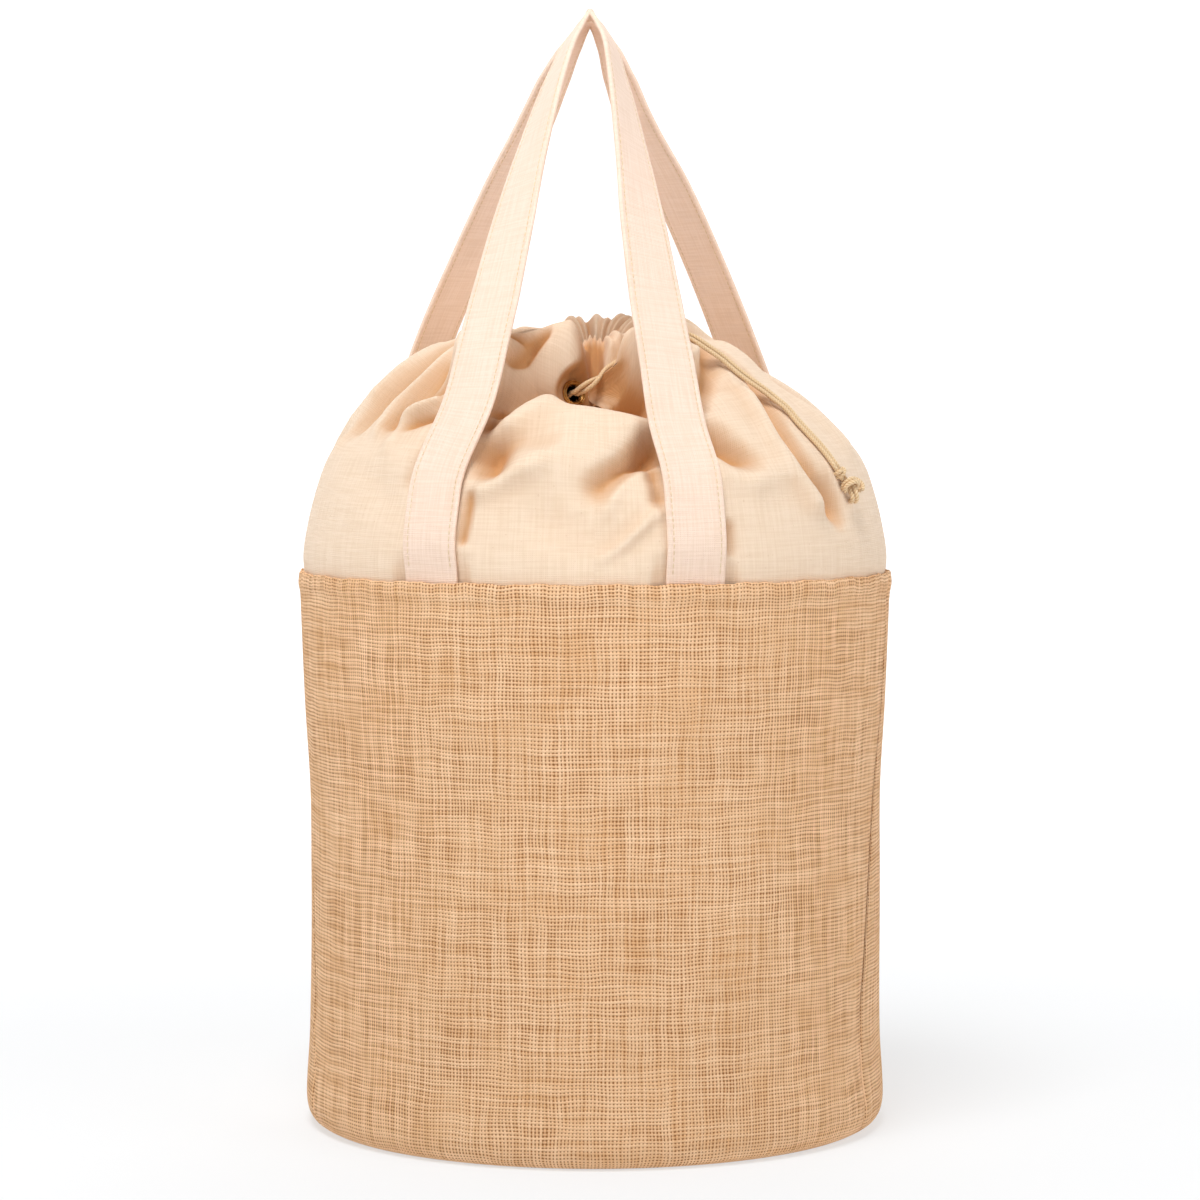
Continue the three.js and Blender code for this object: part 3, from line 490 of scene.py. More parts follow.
def meridian_normal(at, s):
    """The way out of the meridian: its slope turned by a right angle."""
    dr, dz = (through(MERIDIAN, s + 0.5, column) - through(MERIDIAN, s - 0.5, column) for column in (1, 2))
    return unit(polar(at, dz, -dr))


def fold_at(p, wide, places):
    """One fold: its height where it passes nearest, times a Gaussian of the distance to its line."""
    rows = np.array(places, float)
    line = canvas_base(rows[:, 0], rows[:, 1])
    best, height = np.full(p.shape[:-1], np.inf), np.zeros(p.shape[:-1])
    for a, b, low, high in zip(line, line[1:], rows[:, 2], rows[1:, 2]):
        along = np.clip(((p - a) @ (b - a)) / ((b - a) @ (b - a)), 0, 1)
        d = np.linalg.norm(p - a - along[..., None] * (b - a), axis=-1)
        height = np.where(d < best, low + (high - low) * along, height)
        best = np.minimum(best, d)
    return height * np.exp(-(best / wide) ** 2)


def fold_height(p):
    """Sum of the folds at each point."""
    return sum(fold_at(p, wide, places) for wide, places in (*FOLDS.values(), *CREASES.values()))


def pleat_height(at, s):
    """Pleats at the mouth: a cosine round the bag whose phase runs unevenly, calm at the front, deeper at the top."""
    a = at * RADIANS
    turned = (at - 4 + 180) % 360 - 180
    calm = 1 - 0.75 * np.exp(-turned**2 / (2 * 30**2)) * ease((195 - s) / 20)
    wave = PLEAT_COUNT * a + PLEAT_UNEVEN * np.sin(2 * a + PLEAT_PHASE) + PLEAT_PHASE
    fine = 0.8 * np.cos(44 * a + 3 * np.sin(3 * a) + 2 * np.sin(7 * a)) * ease((s - 150) / 30)
    return through(PLEAT_DEPTH, s) * calm * (np.cos(wave) + fine)


def nearest(p, places):
    """Index of the nearest place to each point, in blocks that keep the distance table small."""
    flat = p.reshape(-1, 3)
    blocks = [flat[k:k + 8000, None] for k in range(0, len(flat), 8000)]
    found = [np.argmin(((block - places[None]) ** 2).sum(-1), axis=1) for block in blocks]
    return np.concatenate(found).reshape(p.shape[:-1])


def press_under_straps(p):
    """Cloth within a strap's width is pushed in to just under the strap's inner face, softly at the edges."""
    reach, soft, clear = STRAP_WIDTH / 2 + 3, 7, STRAP_THICK / 2 + 0.5
    for strap in STRAPS:
        middle, width, face = handle_stations(strap, 160)
        k = nearest(p, middle)
        offset = p - middle[k]
        across = np.abs((offset * width[k]).sum(-1))
        out = (offset * face[k]).sum(-1)
        push = out + clear
        near = ((offset**2).sum(-1) < 32**2) & (push > 0) & (push < 14)
        p = p - face[k] * (np.where(near, push, 0) * ease((reach + soft - across) / soft))[..., None]
    return p


def eyelet_axis():
    """The way the eyelet faces, from its turn and tip."""
    turn, tip = EYELET_TURN * RADIANS, EYELET_TIP * RADIANS
    return np.array([math.sin(turn) * math.cos(tip), -math.cos(turn) * math.cos(tip), math.sin(tip)])


def cord_middle(count):
    """Middle line of the cord pair: a short way out of the eyelet, then the route, then the knot."""
    out = [EYELET_MIDDLE + step * eyelet_axis() for step in (-3.5, -0.5, 2.5)]
    knot = polar(KNOT_AT, KNOT_R, KNOT_Z) + KNOT_ENTRY
    return even_path(np.vstack([out, CORD_ROUTE, knot]), count)


def press_under_cord(p, normal):
    """Cloth near the cord is pushed in along the meridian's normal, so that the cord lies in a soft furrow."""
    places, length = cord_middle(140)
    far = np.linalg.norm(places - EYELET_MIDDLE, axis=1) > 17
    clear = (4.2 - 2.4 * ease((np.linspace(0, length, 140) - 45) / 30))[far]
    places = places[far]
    k = nearest(p, places)
    offset = p - places[k]
    out, across = off_axis(offset, normal)
    push = np.where((offset**2).sum(-1) < 24**2, np.maximum(0, out + clear[k]), 0)
    return p - normal * (push * ease((FURROW_REACH + FURROW_SOFT - across) / FURROW_SOFT))[..., None]


def flatten_at_eyelet(p, s):
    """Cloth round the eyelet is brought into the plane of its rim, softly past the seat."""
    axis = eyelet_axis()
    out, radius = off_axis(p - EYELET_MIDDLE, axis)
    flat = ease((EYELET_SEAT - radius) / 5.5) * ease((s - 116) / 12)
    return p - axis * (out * flat)[..., None]


def canvas_surface(at, s):
    """Points of the canvas: base, folds and pleats along the meridian's normal, then pressed under what lies on it."""
    base = canvas_base(at, s)
    normal = meridian_normal(at, s)
    height = fold_height(base) + pleat_height(at, s)
    p = base + normal * height[..., None]
    p = press_under_straps(p)
    p = press_under_cord(p, normal)
    return flatten_at_eyelet(p, s)


def cord_tube(path, radius, sides, depth):
    """Points, faces and groove of a closed round cord along a path, with ridges where its strands lie.

    Each ring is a circle in the plane across the path; the ridges are depth times a cosine of the angle times the
    strands, turned along the way by the lay, which is radians for each millimetre. Groove is 1 on a ridge.
    """
    tangent = unit(np.gradient(path, axis=0))
    side = np.empty_like(path)
    side[0] = unit(np.cross(tangent[0], [0.0, 0.0, 1.0]))
    for i in range(1, len(path)):
        side[i] = unit(side[i - 1] - (side[i - 1] @ tangent[i]) * tangent[i])
    up = np.cross(tangent, side)
    angle = np.linspace(0, 2 * math.pi, sides, endpoint=False)[None, :]
    wave = np.cos(CORD_STRANDS * angle - CORD_LAY * walked_along(path)[:, None])
    r = radius + depth * wave
    ring = path[:, None] + (r * np.cos(angle))[..., None] * side[:, None] + (r * np.sin(angle))[..., None] * up[:, None]
    head = np.arange(sides)[None, ::-1]
    tail = (len(path) - 1) * sides + np.arange(sides)[None, :]
    # Groove is also the mask of the painted shade between the strands: 1 on a ridge, 0 in the groove.
    return ring.reshape(-1, 3), [grid_faces(len(path), sides, closed=True), head, tail], (0.5 + 0.5 * wave).ravel()


# Materials

def add(tree, kind, inputs=None, **options):
    """Adds a shader node, sets its options, and gives each input a value or another node's output."""
    node = tree.nodes.new("ShaderNode" + kind)
    for key, value in options.items():
        setattr(node, key, value)
    for key, value in (inputs or {}).items():
        if isinstance(value, bpy.types.NodeSocket):
            tree.links.new(value, node.inputs[key])
        else:
            node.inputs[key].default_value = value
    return node.outputs


def maths(tree, operation, *values):
    """A math node's result."""
    return add(tree, "Math", dict(enumerate(values)), operation=operation)[0]


def spread(tree, value, low, high, to_low=0.0, to_high=1.0, **options):
    """The value brought from one range to another."""
    return add(tree, "MapRange", {
        "Value": value, "From Min": low, "From Max": high, "To Min": to_low, "To Max": to_high}, **options)[0]


def noise(tree, vector, scale, detail=0.0):
    """Soft noise over the vector; scale is in blobs for each metre, or for each thread."""
    return add(tree, "TexNoise", {"Vector": vector, "Scale": scale, "Detail": detail})


def mix(tree, factor, a, b):
    """Colour a, b or between them."""
    return add(tree, "Mix", {"Factor": factor, "A": a, "B": b}, data_type="RGBA")["Result"]


def bump(tree, height, strength, distance):
    """Normal tipped by the slope of the height."""
    return add(tree, "Bump", {"Height": height, "Strength": strength, "Distance": distance})[0]


def tint(colour, red=1.0, green=1.0, blue=1.0):
    """The linear colour with each channel times its share, at most 1."""
    return (*np.minimum(1, np.array(colour) * np.array((red, green, blue))), 1)


def new_material(name):
    """An empty material with its output node."""
    material = bpy.data.materials.new(name)
    material.use_nodes = True
    material.node_tree.nodes.clear()
    return material, material.node_tree


def finish_material(material, inputs):
    """Joins a principled shader with these inputs to the material's output."""
    tree = material.node_tree
    shader = add(tree, "BsdfPrincipled", inputs)
    add(tree, "OutputMaterial", {"Surface": shader[0]})
    return material


def weave_nodes(tree, uv, pitch, wander, uneven):
    """Plain weave from a cloth's own map: the height of its threads and their shade.

    Threads are half waves of the place over the pitch, made thicker and thinner along the yarn by stretched noise.
    Which one is on top changes from square to square with the sign of the two waves' product, and the place wanders
    a little with soft noise.
    """
    sway = noise(tree, uv, 60.0)
    shift = add(tree, "VectorMath", {0: sway["Color"], 1: (0.5, 0.5, 0.5)}, operation="SUBTRACT")
    moved = add(tree, "VectorMath", {0: shift[0], 1: (wander,) * 3, 2: uv}, operation="MULTIPLY_ADD")
    count = add(tree, "VectorMath", {0: moved[0], "Scale": 1 / pitch}, operation="SCALE")
    split = add(tree, "SeparateXYZ", {0: count[0]})
    waves = [maths(tree, "SINE", maths(tree, "MULTIPLY", split[axis], math.pi)) for axis in ("X", "Y")]
    over = maths(tree, "MULTIPLY", *waves)
    heights, yarns = [], []
    for wave, sign, stretch in zip(waves, (0.3, -0.3), ((0.9, 0.04, 1), (0.04, 0.9, 1))):
        along = add(tree, "VectorMath", {0: count[0], 1: stretch}, operation="MULTIPLY")
        yarn = noise(tree, along[0], 1.0)["Fac"]
        thick = spread(tree, yarn, 0.3, 0.7, 1 - uneven, 1 + uneven)
        full = maths(tree, "MULTIPLY", maths(tree, "ABSOLUTE", wave), thick)
        heights.append(maths(tree, "MULTIPLY_ADD", over, sign, full))
        yarns.append(yarn)
    top = maths(tree, "SMOOTH_MAX", *heights, 0.15)
    return maths(tree, "MULTIPLY_ADD", maths(tree, "ADD", *heights), 0.45, top), maths(tree, "ADD", *yarns)


def jute_material():
    """Jute hessian: coarse plain weave of hard, hairy yarn, golden brown, with painted shade in the open holes between
    the threads and along the side seams.
    """
    material, tree = new_material("Natural jute hessian")
    light = settings().jute_colour
    uv = add(tree, "TexCoord")["UV"]
    height, shade = weave_nodes(tree, uv, settings().jute_pitch, 0.002, 0.26)
    patch = noise(tree, uv, 34.0, 1.0)["Fac"]
    tone = spread(tree, maths(tree, "MULTIPLY_ADD", patch, 0.8, shade), 0.85, 1.95)
    yarn = mix(tree, tone, tint(light, 0.86, 0.78, 0.68), tint(light, 1.1, 1.16, 1.26))
    # Painted shade in the weave's holes: its low places are taken towards dark brown.
    depth = spread(tree, maths(tree, "MULTIPLY_ADD", patch, -0.5, height), 0.34, 1.08)
    woven = mix(tree, depth, tint(light, 0.34, 0.20, 0.10), yarn)
    # Painted shade along the side seams: the seam values take the colour towards near black brown.
    seam = add(tree, "Attribute", attribute_name="seam")["Fac"]
    return finish_material(material, {
        "Base Color": mix(tree, seam, woven, tint(light, 0.22, 0.10, 0.03)), "Roughness": 0.92,
        "Normal": bump(tree, height, 0.7, 0.0006), "Specular IOR Level": 0.2})


def canvas_like(name, light, pitch, strength, dots):
    """Cotton canvas: fine plain weave, soft and matt, a little mottled, with darker seed flecks, and painted warm shade
    in its creases.
    """
    material, tree = new_material(name)
    uv = add(tree, "TexCoord")["UV"]
    height, shade = weave_nodes(tree, uv, pitch, 0.0005, 0.2)
    cloth = mix(tree, spread(tree, shade, 0.7, 1.3), tint(light, 0.93, 0.90, 0.86), tint(light))
    rare = spread(tree, noise(tree, uv, 650.0)["Fac"], 0.78, 0.84, 0.0, dots)
    flecked = mix(tree, rare, cloth, tint(light, 0.72, 0.6, 0.46))
    # Painted shade: where the mesh's crease values are high, the colour goes darker and warmer, as for shade and light
    # bounced between folds.
    crease = add(tree, "Attribute", attribute_name="crease")["Fac"]
    return finish_material(material, {
        "Base Color": mix(tree, crease, flecked, tint(light, 0.70, 0.46, 0.26)), "Roughness": 0.9,
        "Normal": bump(tree, height, strength, 0.0003), "Sheen Weight": 0.1, "Sheen Roughness": 0.5,
        "Specular IOR Level": 0.2})


def cord_material():
    """Twisted cotton cord: soft matt yarn, with painted shade in the grooves between its strands."""
    material, tree = new_material("Twisted cotton cord")
    light = settings().cord_colour
    groove = add(tree, "Attribute", attribute_name="groove")["Fac"]
    fibre = noise(tree, add(tree, "TexCoord")["Object"], 2400.0, 3.0)["Fac"]
    # Painted shade: the yarn's colour goes darker in the grooves between the strands.
    return finish_material(material, {
        "Base Color": mix(tree, groove, tint(light, 0.72, 0.6, 0.44), tint(light)), "Roughness": 0.88,
        "Normal": bump(tree, fibre, 0.5, 0.0002), "Sheen Weight": 0.2, "Specular IOR Level": 0.25})


def thread_material():
    """Sewing thread: cotton, mottled between tan and cream, so that each stitch shows on the pale strap."""
    material, tree = new_material("Cream sewing thread")
    mottle = noise(tree, add(tree, "TexCoord")["Object"], 900.0, 1.0)["Fac"]
    return finish_material(material, {
        "Base Color": mix(tree, mottle, tint(linear("#d9b98c")), tint(linear("#f0dcbc"))), "Roughness": 0.7})


def brass_material():
    """Aged brass: pressed sheet, rubbed bright on its edge and brown where hands don't reach."""
    material, tree = new_material("Aged pressed brass")
    light = settings().brass_colour
    patina = noise(tree, add(tree, "TexCoord")["Object"], 420.0, 5.0)["Fac"]
    worn = spread(tree, patina, 0.34, 0.6)
    return finish_material(material, {
        "Base Color": mix(tree, worn, tint(light, 0.68, 0.58, 0.48), tint(light)), "Metallic": 1.0,
        "Roughness": spread(tree, patina, 0.3, 0.7, 0.45, 0.3), "Normal": bump(tree, patina, 0.15, 0.0002)})


def floor_material():
    """Pale seamless paper, matt and lit through from behind, so it stays white and still takes a soft shadow."""
    material, tree = new_material("Pale seamless paper")
    far = add(tree, "VectorMath", {0: add(tree, "TexCoord")["Object"]}, operation="LENGTH")["Value"]
    glow = spread(tree, far, 0.2, 1.6, 0.57, 0.92, interpolation_type="SMOOTHSTEP")
    return finish_material(material, {
        "Base Color": (0.36, 0.37, 0.38, 1), "Roughness": 0.95, "Specular IOR Level": 0.0,
        "Emission Color": (1, 1, 1, 1), "Emission Strength": glow})


# Operators

class BagOperator(bpy.types.Operator):
    """Common options of the bag's operators."""

    bl_options = {"REGISTER", "UNDO"}


class BAG_OT_camera(BagOperator):
    """Sets the camera where the photo was taken from: 2 m in front, a little above the bag's middle."""

    bl_idname = "bag.camera"
    bl_label = "Camera"

    def execute(self, context):
        data = bpy.data.cameras.new("bag_camera")
        data.lens = LENS
        data.sensor_width = SENSOR
        camera = bpy.data.objects.new("bag_camera", data)
        camera.location = CAMERA_PLACE
        camera.rotation_euler = (CAMERA_TILT * RADIANS, 0, 0)
        context.scene.collection.objects.link(camera)
        context.scene.camera = camera
        return {"FINISHED"}


class BAG_OT_drawcord(BagOperator):
    """Makes the two twisted strands of the drawcord and the overhand knot that ends them."""

    bl_idname = "bag.drawcord"
    bl_label = "Drawcord and knot"

    def execute(self, context):
        s = settings()
        cotton = cord_material()
        middle, length = cord_middle(260)
        tangent = unit(np.gradient(middle, axis=0))
        outward = unit(np.stack([middle[:, 0], middle[:, 1], 0 * middle[:, 0] + 60], -1))
        beside = unit(np.cross(tangent, outward))
        above = unit(np.cross(beside, tangent))
        wound = np.minimum(1, np.linspace(0, length, 260) / CORD_TWISTED_LENGTH) * CORD_TWISTS * 2 * math.pi
        knot = self.make_knot(cotton, s.cord_diameter / MM)
        for name, side in (("drawcord_upper", 1), ("drawcord_lower", -1)):
            turned = np.cos(wound)[:, None] * beside + np.sin(wound)[:, None] * above
            path = middle + side * CORD_SPACING / 2 * turned
            points, faces, groove = cord_tube(path, s.cord_diameter / MM / 2 - 0.06, 14, 0.11)
            piece = make_piece(name + "_cord", points, faces, cotton, values={"groove": groove}, replaces=[name],
                               slot="cord")
        return {"FINISHED"}

    def make_knot(self, cotton, diameter):
        """Overhand knot of the doubled cord: two strands side by side along a trefoil, and a wrap where they enter.

        The trefoil is sin t + 2 sin 2t, -1.15 sin 3t, cos t - 2 cos 2t, times 2.1 mm; the wrap is a helix.
        """
        t = np.linspace(0.42, 2 * math.pi - 0.42, 150)
        way = 2.1 * np.stack([np.sin(t) + 2 * np.sin(2 * t), -1.15 * np.sin(3 * t), np.cos(t) - 2 * np.cos(2 * t)], -1)
        tangent = unit(np.gradient(way, axis=0))
        side = unit(np.cross(tangent, way - 0.001))
        turn = KNOT_AT * RADIANS
        spin = np.array([[math.cos(turn), -math.sin(turn), 0], [math.sin(turn), math.cos(turn), 0], [0, 0, 1]])
        middle = polar(KNOT_AT, KNOT_R, KNOT_Z)
        ways = [((way + sign * 0.48 * diameter * side) @ spin.T + middle, diameter / 2 - 0.06, 12) for sign in (-1, 1)]
        end, _ = cord_middle(260)
        turns = np.linspace(0, 1.7 * 2 * math.pi, 60)[:, None]
        run = unit(end[-1] - end[-12])
        side = unit(np.cross(run, [0, 0, 1.0]))
        wrap = end[-8] + 2.5 * (np.cos(turns) * side + np.sin(turns) * np.cross(run, side)) + run * (turns / 2.9 - 2)
        ways.append((wrap, diameter / 2 - 0.1, 10))
        points, faces, grooves, start = [], [], [], 0
        for path, radius, sides in ways:
            ring, parts, groove = cord_tube(path, radius, sides, 0.1)
            points.append(ring)
            faces += [part + start for part in parts]
            grooves.append(groove)
            start += len(ring)
        return make_piece("drawcord_knot_tied", np.concatenate(points), faces, cotton,
                          values={"groove": np.concatenate(grooves)}, replaces=["drawcord_knot"], slot="cord")


class BAG_OT_jute_body(BagOperator):
    """Makes the two jute panels of the wall with their folded hem, and the round bottom."""

    bl_idname = "bag.jute_body"
    bl_label = "Jute body"

    def execute(self, context):
        jute = jute_material()
        sides = {
            "jute_front_panel": (lambda z: seam_at(1, z), lambda z: seam_at(2, z), 0.38),
            "jute_back_panel": (lambda z: seam_at(2, z), lambda z: seam_at(1, z) + 360, 0.54),
        }
        for name, (low, high, width) in sides.items():
            points, faces, uv, seam = jute_panel(low, high)
            panel = make_piece(name + "_cloth", points, faces, jute, uv=uv, values={"seam": seam}, replaces=[name],
                               slot="jute")
        self.make_base(jute)
        return {"FINISHED"}

    def make_base(self, jute):
        """Round bottom: rings from the middle out, over the rounded edge and back, joined to a small middle disc."""
        edge = 0.7
        down = [(8, 0), (60, 0), (110, 0), (BASE_RADIUS - edge, 0), (BASE_RADIUS, edge)]
        profile = down + [(r, BASE_THICK - z) for r, z in down[::-1]]
        at = np.linspace(0, 360, 144, endpoint=False)
        points = np.concatenate([polar(at, r, z) for r, z in profile])
        faces = grid_faces(len(profile), len(at), closed=True)
        under = np.arange(len(at))[None, ::-1]
        upper = (len(profile) - 1) * len(at) + np.arange(len(at))[None, :]
        base = make_piece("jute_base_cloth", points, [faces, under, upper], jute, uv=points[:, :2],
                          replaces=["jute_base"], slot="jute")


class BAG_OT_canvas_top(BagOperator):
    """Makes the gathered canvas top with its folds, pleats, furrow under the cord and hole for the eyelet."""

    bl_idname = "bag.canvas_top"
    bl_label = "Canvas top"

    def execute(self, context):
        s = settings()
        columns = 400
        t = np.linspace(0, 360, columns + 1)
        at = t - 24 * np.sin(t * RADIANS)
        up = np.concatenate([np.linspace(-14, 50, 40), np.linspace(50, 200, 170)[1:], np.linspace(200, 228, 22)[1:]])
        grid_at, grid_s = np.meshgrid(at[:-1], up)
        points = canvas_surface(grid_at, grid_s)
        base = canvas_base(grid_at, grid_s)
        # Painted shade for the canvas colour: the named touching creases, and how closed in each point is by the cloth
        # round it.
        painted_shade = sum(np.clip(-fold_at(base, *CREASES[name]) / FULL_SHADE_DEPTH, 0, 1) for name in PAINTED_SHADE_CREASES)
        crease = np.minimum(1, self.painted_crease_shade(points) + painted_shade)
        uv = np.stack(np.broadcast_arrays(at[None, :] * RADIANS * CANVAS_ROUND, up[:, None]), -1).reshape(-1, 2)
        faces = grid_faces(len(up), columns, closed=True)
        uv_faces = grid_faces(len(up), columns + 1)
        flat = points.reshape(-1, 3)
        out, radius = off_axis(flat[faces].mean(1) - EYELET_MIDDLE, eyelet_axis())
        kept = ~((radius < EYELET_BORE / 2 + 1) & (np.abs(out) < 6))
        cloth = canvas_like("Natural cotton canvas", s.canvas_colour, s.canvas_pitch, 0.3, 0.35)
        canvas = make_piece("canvas_top_cloth", flat, faces[kept], cloth, uv=uv, uv_faces=uv_faces[kept],
                            values={"crease": crease.ravel()}, replaces=["canvas_top"], slot="canvas")
        return {"FINISHED"}

    def painted_crease_shade(self, points):
        """How much painted shade each point gets: how much of the open space over it is closed in by the cloth round
        it.

        In eight directions along the grid it takes the steepest rise to a place 3 to 18 steps away, as the sine
        over the point's own plane, and then the mean of the eight.
        """
        along = np.roll(points, -1, 1) - np.roll(points, 1, 1)
        up = np.gradient(points, axis=0)
        normal = unit(np.cross(along, up))
        rows = np.arange(len(points))
        total = 0
        for i, j in ((0, 1), (1, 1), (1, 0), (1, -1), (0, -1), (-1, -1), (-1, 0), (-1, 1)):
            steepest = 0
            for step in (3, 6, 10, 14, 18):
                other = np.roll(points[np.clip(rows + i * step, 0, rows[-1])], j * step, 1)
                steepest = np.maximum(steepest, (unit(other - points) * normal).sum(-1))
            total = total + steepest / 8
        return np.clip((total - 0.04) / 0.42, 0, 1)


class BAG_OT_handles(BagOperator):
    """Makes the two strap handles with their rows of edge stitches."""

    bl_idname = "bag.handles"
    bl_label = "Strap handles"

    def execute(self, context):
        s = settings()
        cloth = canvas_like("Folded canvas strap", s.strap_colour, s.canvas_pitch, 0.45, 0.15)
        thread = thread_material()
        for strap in STRAPS:
            self.make_strap(strap, cloth)
            self.make_stitches(strap, thread, s)
        return {"FINISHED"}

    def make_strap(self, strap, cloth):
        """Flat strap: a section with round edges and a shallow groove by each row of stitches, along the stations."""
        side = STRAPS[strap][1]
        middle, width, face = handle_stations(strap, 420)
        half, skin = STRAP_WIDTH / 2, STRAP_THICK / 2
        across = np.concatenate([[-half, -half + 0.25], np.linspace(-half + 0.9, half - 0.9, 33), [half - 0.25, half]])
        rise = skin * np.concatenate([[0, 0.62], np.ones(33), [0.62, 0]])
        groove = 0.28 * np.exp(-((np.abs(across) - (half - 3)) / 0.55) ** 2)
        puff = 0.12 * np.cos((np.abs(across) - half + 1.4) * 1.9) * (np.abs(across) > half - 3)
        top = rise - groove + puff * (rise > 0.9 * skin)
        section_x = np.concatenate([across, across[-2:0:-1]])
        section_y = np.concatenate([top, -top[-2:0:-1]])
        if side > 0:
            section_x, section_y = section_x[::-1], section_y[::-1]
        points = middle[:, None] + section_x[None, :, None] * width[:, None] + section_y[None, :, None] * face[:, None]
        walked = walked_along(middle)
        rows, columns = points.shape[:2]
        turned = np.append(section_x, section_x[0]) + 400 * (1 + side)
        uv = np.stack(np.broadcast_arrays(turned[None, :], walked[:, None]), -1).reshape(-1, 2)
        faces = grid_faces(rows, columns, closed=True)
        caps = [np.arange(columns)[None, ::-1], (rows - 1) * columns + np.arange(columns)[None, :]]
        uv_faces = np.concatenate([grid_faces(rows, columns + 1).ravel(), caps[0].ravel(),
                                   ((rows - 1) * (columns + 1) + np.arange(columns))])
        strap_piece = make_piece(strap + "_strap", points.reshape(-1, 3), [faces] + caps, cloth, uv=uv,
                                 uv_faces=uv_faces, replaces=[strap], slot="webbing")

    def make_stitches(self, strap, thread, s):
        """Rows of stitches: each is a small pointed ridge of five rings of four, laid end to end along both edges."""
        middle, width, face = handle_stations(strap, 1400)
        walked = walked_along(middle)
        step = s.stitch_length / MM
        starts = np.arange(22, walked[-1] - 22, step)
        shape = np.array([(-0.40, 0.06), (-0.28, 0.24), (0, 0.3), (0.28, 0.24), (0.40, 0.06)])
        along = (starts[:, None] + step / 2 + shape[None, :, 0] * step).ravel()
        place = [np.stack([np.interp(along, walked, v[:, k]) for k in range(3)], -1) for v in (middle, width, face)]
        thick = np.tile(shape[:, 1], len(starts))
        angle = np.array([0.25, 0.75, 1.25, 1.75]) * math.pi
        points, faces, start = [], [], 0
        first = 20 * np.arange(len(starts))[:, None]
        every = (grid_faces(5, 4, closed=True)[None] + first[..., None]).reshape(-1, 4)
        quads = np.concatenate([every, first + np.arange(3, -1, -1), first + np.arange(16, 20)])
        for edge, front in ((-1, -1), (-1, 1), (1, -1), (1, 1)):
            off = edge * (STRAP_WIDTH / 2 - s.stitch_inset / MM)
            lift = front * (STRAP_THICK / 2 - 0.2)
            ring = (place[0] + off * place[1] + lift * place[2])[:, None]
            ring = ring + (thick[:, None] * np.cos(angle))[..., None] * place[1][:, None]
            ring = ring + (thick[:, None] * np.sin(angle))[..., None] * place[2][:, None]
            points.append(ring.reshape(-1, 3))
            faces.append(quads + start)
            start += ring.shape[0] * 4
        make_piece(strap + "_stitches", np.concatenate(points), faces, thread, slot="webbing")


class BAG_OT_eyelet(BagOperator):
    """Makes the pressed brass eyelet in the canvas hem."""

    bl_idname = "bag.eyelet"
    bl_label = "Eyelet"

    def execute(self, context):
        bore, rim = EYELET_BORE / 2, EYELET_OUTER / 2
        low = -CANVAS_THICK - 0.65
        curl = np.linspace(0, 1, 22)
        top = 0.5 + 0.75 * np.abs(np.sin(2 * math.pi * curl ** 1.3)) ** 0.8
        crown = np.stack([bore + (rim - bore) * curl, top], -1)
        profile = np.concatenate([
            [(rim - 0.6, low), (rim - 0.6, low - 0.7), (bore + 0.2, low - 0.8), (bore, low - 0.4)], crown,
            [(rim - 0.3, 0.3), (bore + 1, 0.3), (bore + 1, low)]])
        axis = eyelet_axis()
        across = unit(np.cross([0, 0, 1.0], axis))
        up = np.cross(axis, across)
        angle = np.linspace(0, 2 * math.pi, 56, endpoint=False)
        ring = np.cos(angle)[:, None] * across + np.sin(angle)[:, None] * up
        points = EYELET_MIDDLE + profile[:, 0, None, None] * ring[None] + profile[:, 1, None, None] * axis
        rows, columns = points.shape[:2]
        faces = grid_faces(rows + 1, columns, closed=True) % (rows * columns)
        make_piece("eyelet_rim", points.reshape(-1, 3), faces[:, ::-1], brass_material(), replaces=["eyelet"],
                   slot="brass")
        return {"FINISHED"}


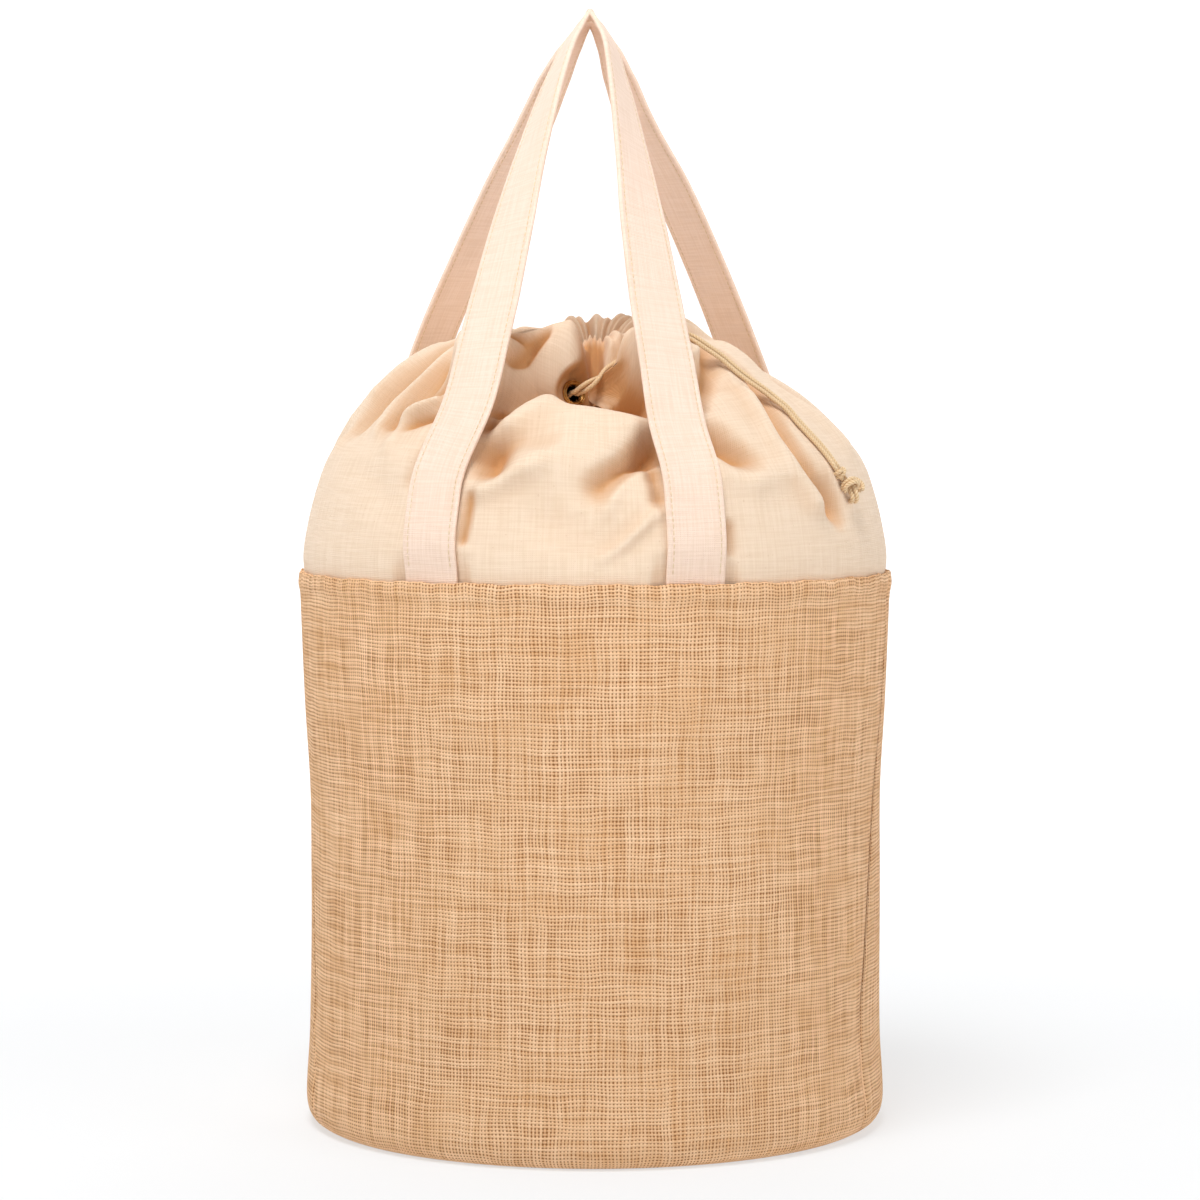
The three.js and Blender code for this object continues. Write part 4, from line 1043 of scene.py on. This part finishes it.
class BAG_OT_stage(BagOperator):
    """Sets a pale seamless floor and soft studio light."""

    bl_idname = "bag.stage"
    bl_label = "Stage"

    def execute(self, context):
        bend = np.linspace(0.1, math.pi / 2, 12)
        flat = np.linspace(-FLOOR_REACH, FLOOR_BEND, 12)
        y = np.concatenate([flat, FLOOR_BEND * (1 + np.sin(bend)), [2 * FLOOR_BEND]])
        z = np.concatenate([np.zeros(12), FLOOR_BEND * (1 - np.cos(bend)), [FLOOR_BACK]])
        x = np.linspace(-FLOOR_REACH, FLOOR_REACH, 9)
        points = np.stack(np.broadcast_arrays(x[None, :], y[:, None], z[:, None]), -1)
        floor = make_piece("seamless_floor", points.reshape(-1, 3), grid_faces(len(y), len(x)), floor_material())
        world = bpy.data.worlds.new("Soft studio")
        context.scene.world = world
        world.use_nodes = True
        background = world.node_tree.nodes["Background"].inputs
        background["Color"].default_value = (1, 1, 1, 1)
        background["Strength"].default_value = 0.2
        for name, (place, aim, size, power) in LAMPS.items():
            self.add_lamp(context, name, np.array(place), np.array(aim), size, power)
        context.scene.view_settings.view_transform = "Standard"
        return {"FINISHED"}

    def add_lamp(self, context, name, place, aim, size, power):
        """A square lamp at the place, turned so that it faces the aim."""
        data = bpy.data.lights.new(name, "AREA")
        data.size = size
        data.energy = power
        lamp = bpy.data.objects.new(name, data)
        lamp.location = place
        away = place - aim
        flat = math.hypot(away[0], away[1])
        lamp.rotation_euler = (math.atan2(flat, away[2]), 0, math.atan2(away[0], -away[1]))
        context.scene.collection.objects.link(lamp)


class BAG_PT_panel(bpy.types.Panel):
    """Lists the bag's settings and operators."""

    bl_idname = "BAG_PT_panel"
    bl_label = "Drawstring bucket bag"
    bl_space_type = "VIEW_3D"
    bl_region_type = "UI"
    bl_category = "Bag"

    def draw(self, context):
        for name in BagSettings.__annotations__:
            self.layout.prop(context.scene.bag, name)
        for operator in MAKERS:
            self.layout.operator(operator.bl_idname)


MAKERS = (BAG_OT_camera, BAG_OT_drawcord, BAG_OT_jute_body, BAG_OT_canvas_top, BAG_OT_handles, BAG_OT_eyelet,
          BAG_OT_stage)


def register():
    for entry in (BagSettings, *MAKERS, BAG_PT_panel):
        bpy.utils.register_class(entry)
    bpy.types.Scene.bag = bpy.props.PointerProperty(type=BagSettings)


def unregister():
    del bpy.types.Scene.bag
    for entry in (BAG_PT_panel, *reversed(MAKERS), BagSettings):
        bpy.utils.unregister_class(entry)


def main():
    """Makes the whole bag."""
    register()
    bpy.ops.bag.camera()
    bpy.ops.bag.drawcord()
    bpy.ops.bag.jute_body()
    bpy.ops.bag.canvas_top()
    bpy.ops.bag.handles()
    bpy.ops.bag.eyelet()
    bpy.ops.bag.stage()


if __name__ == "__main__":
    main()
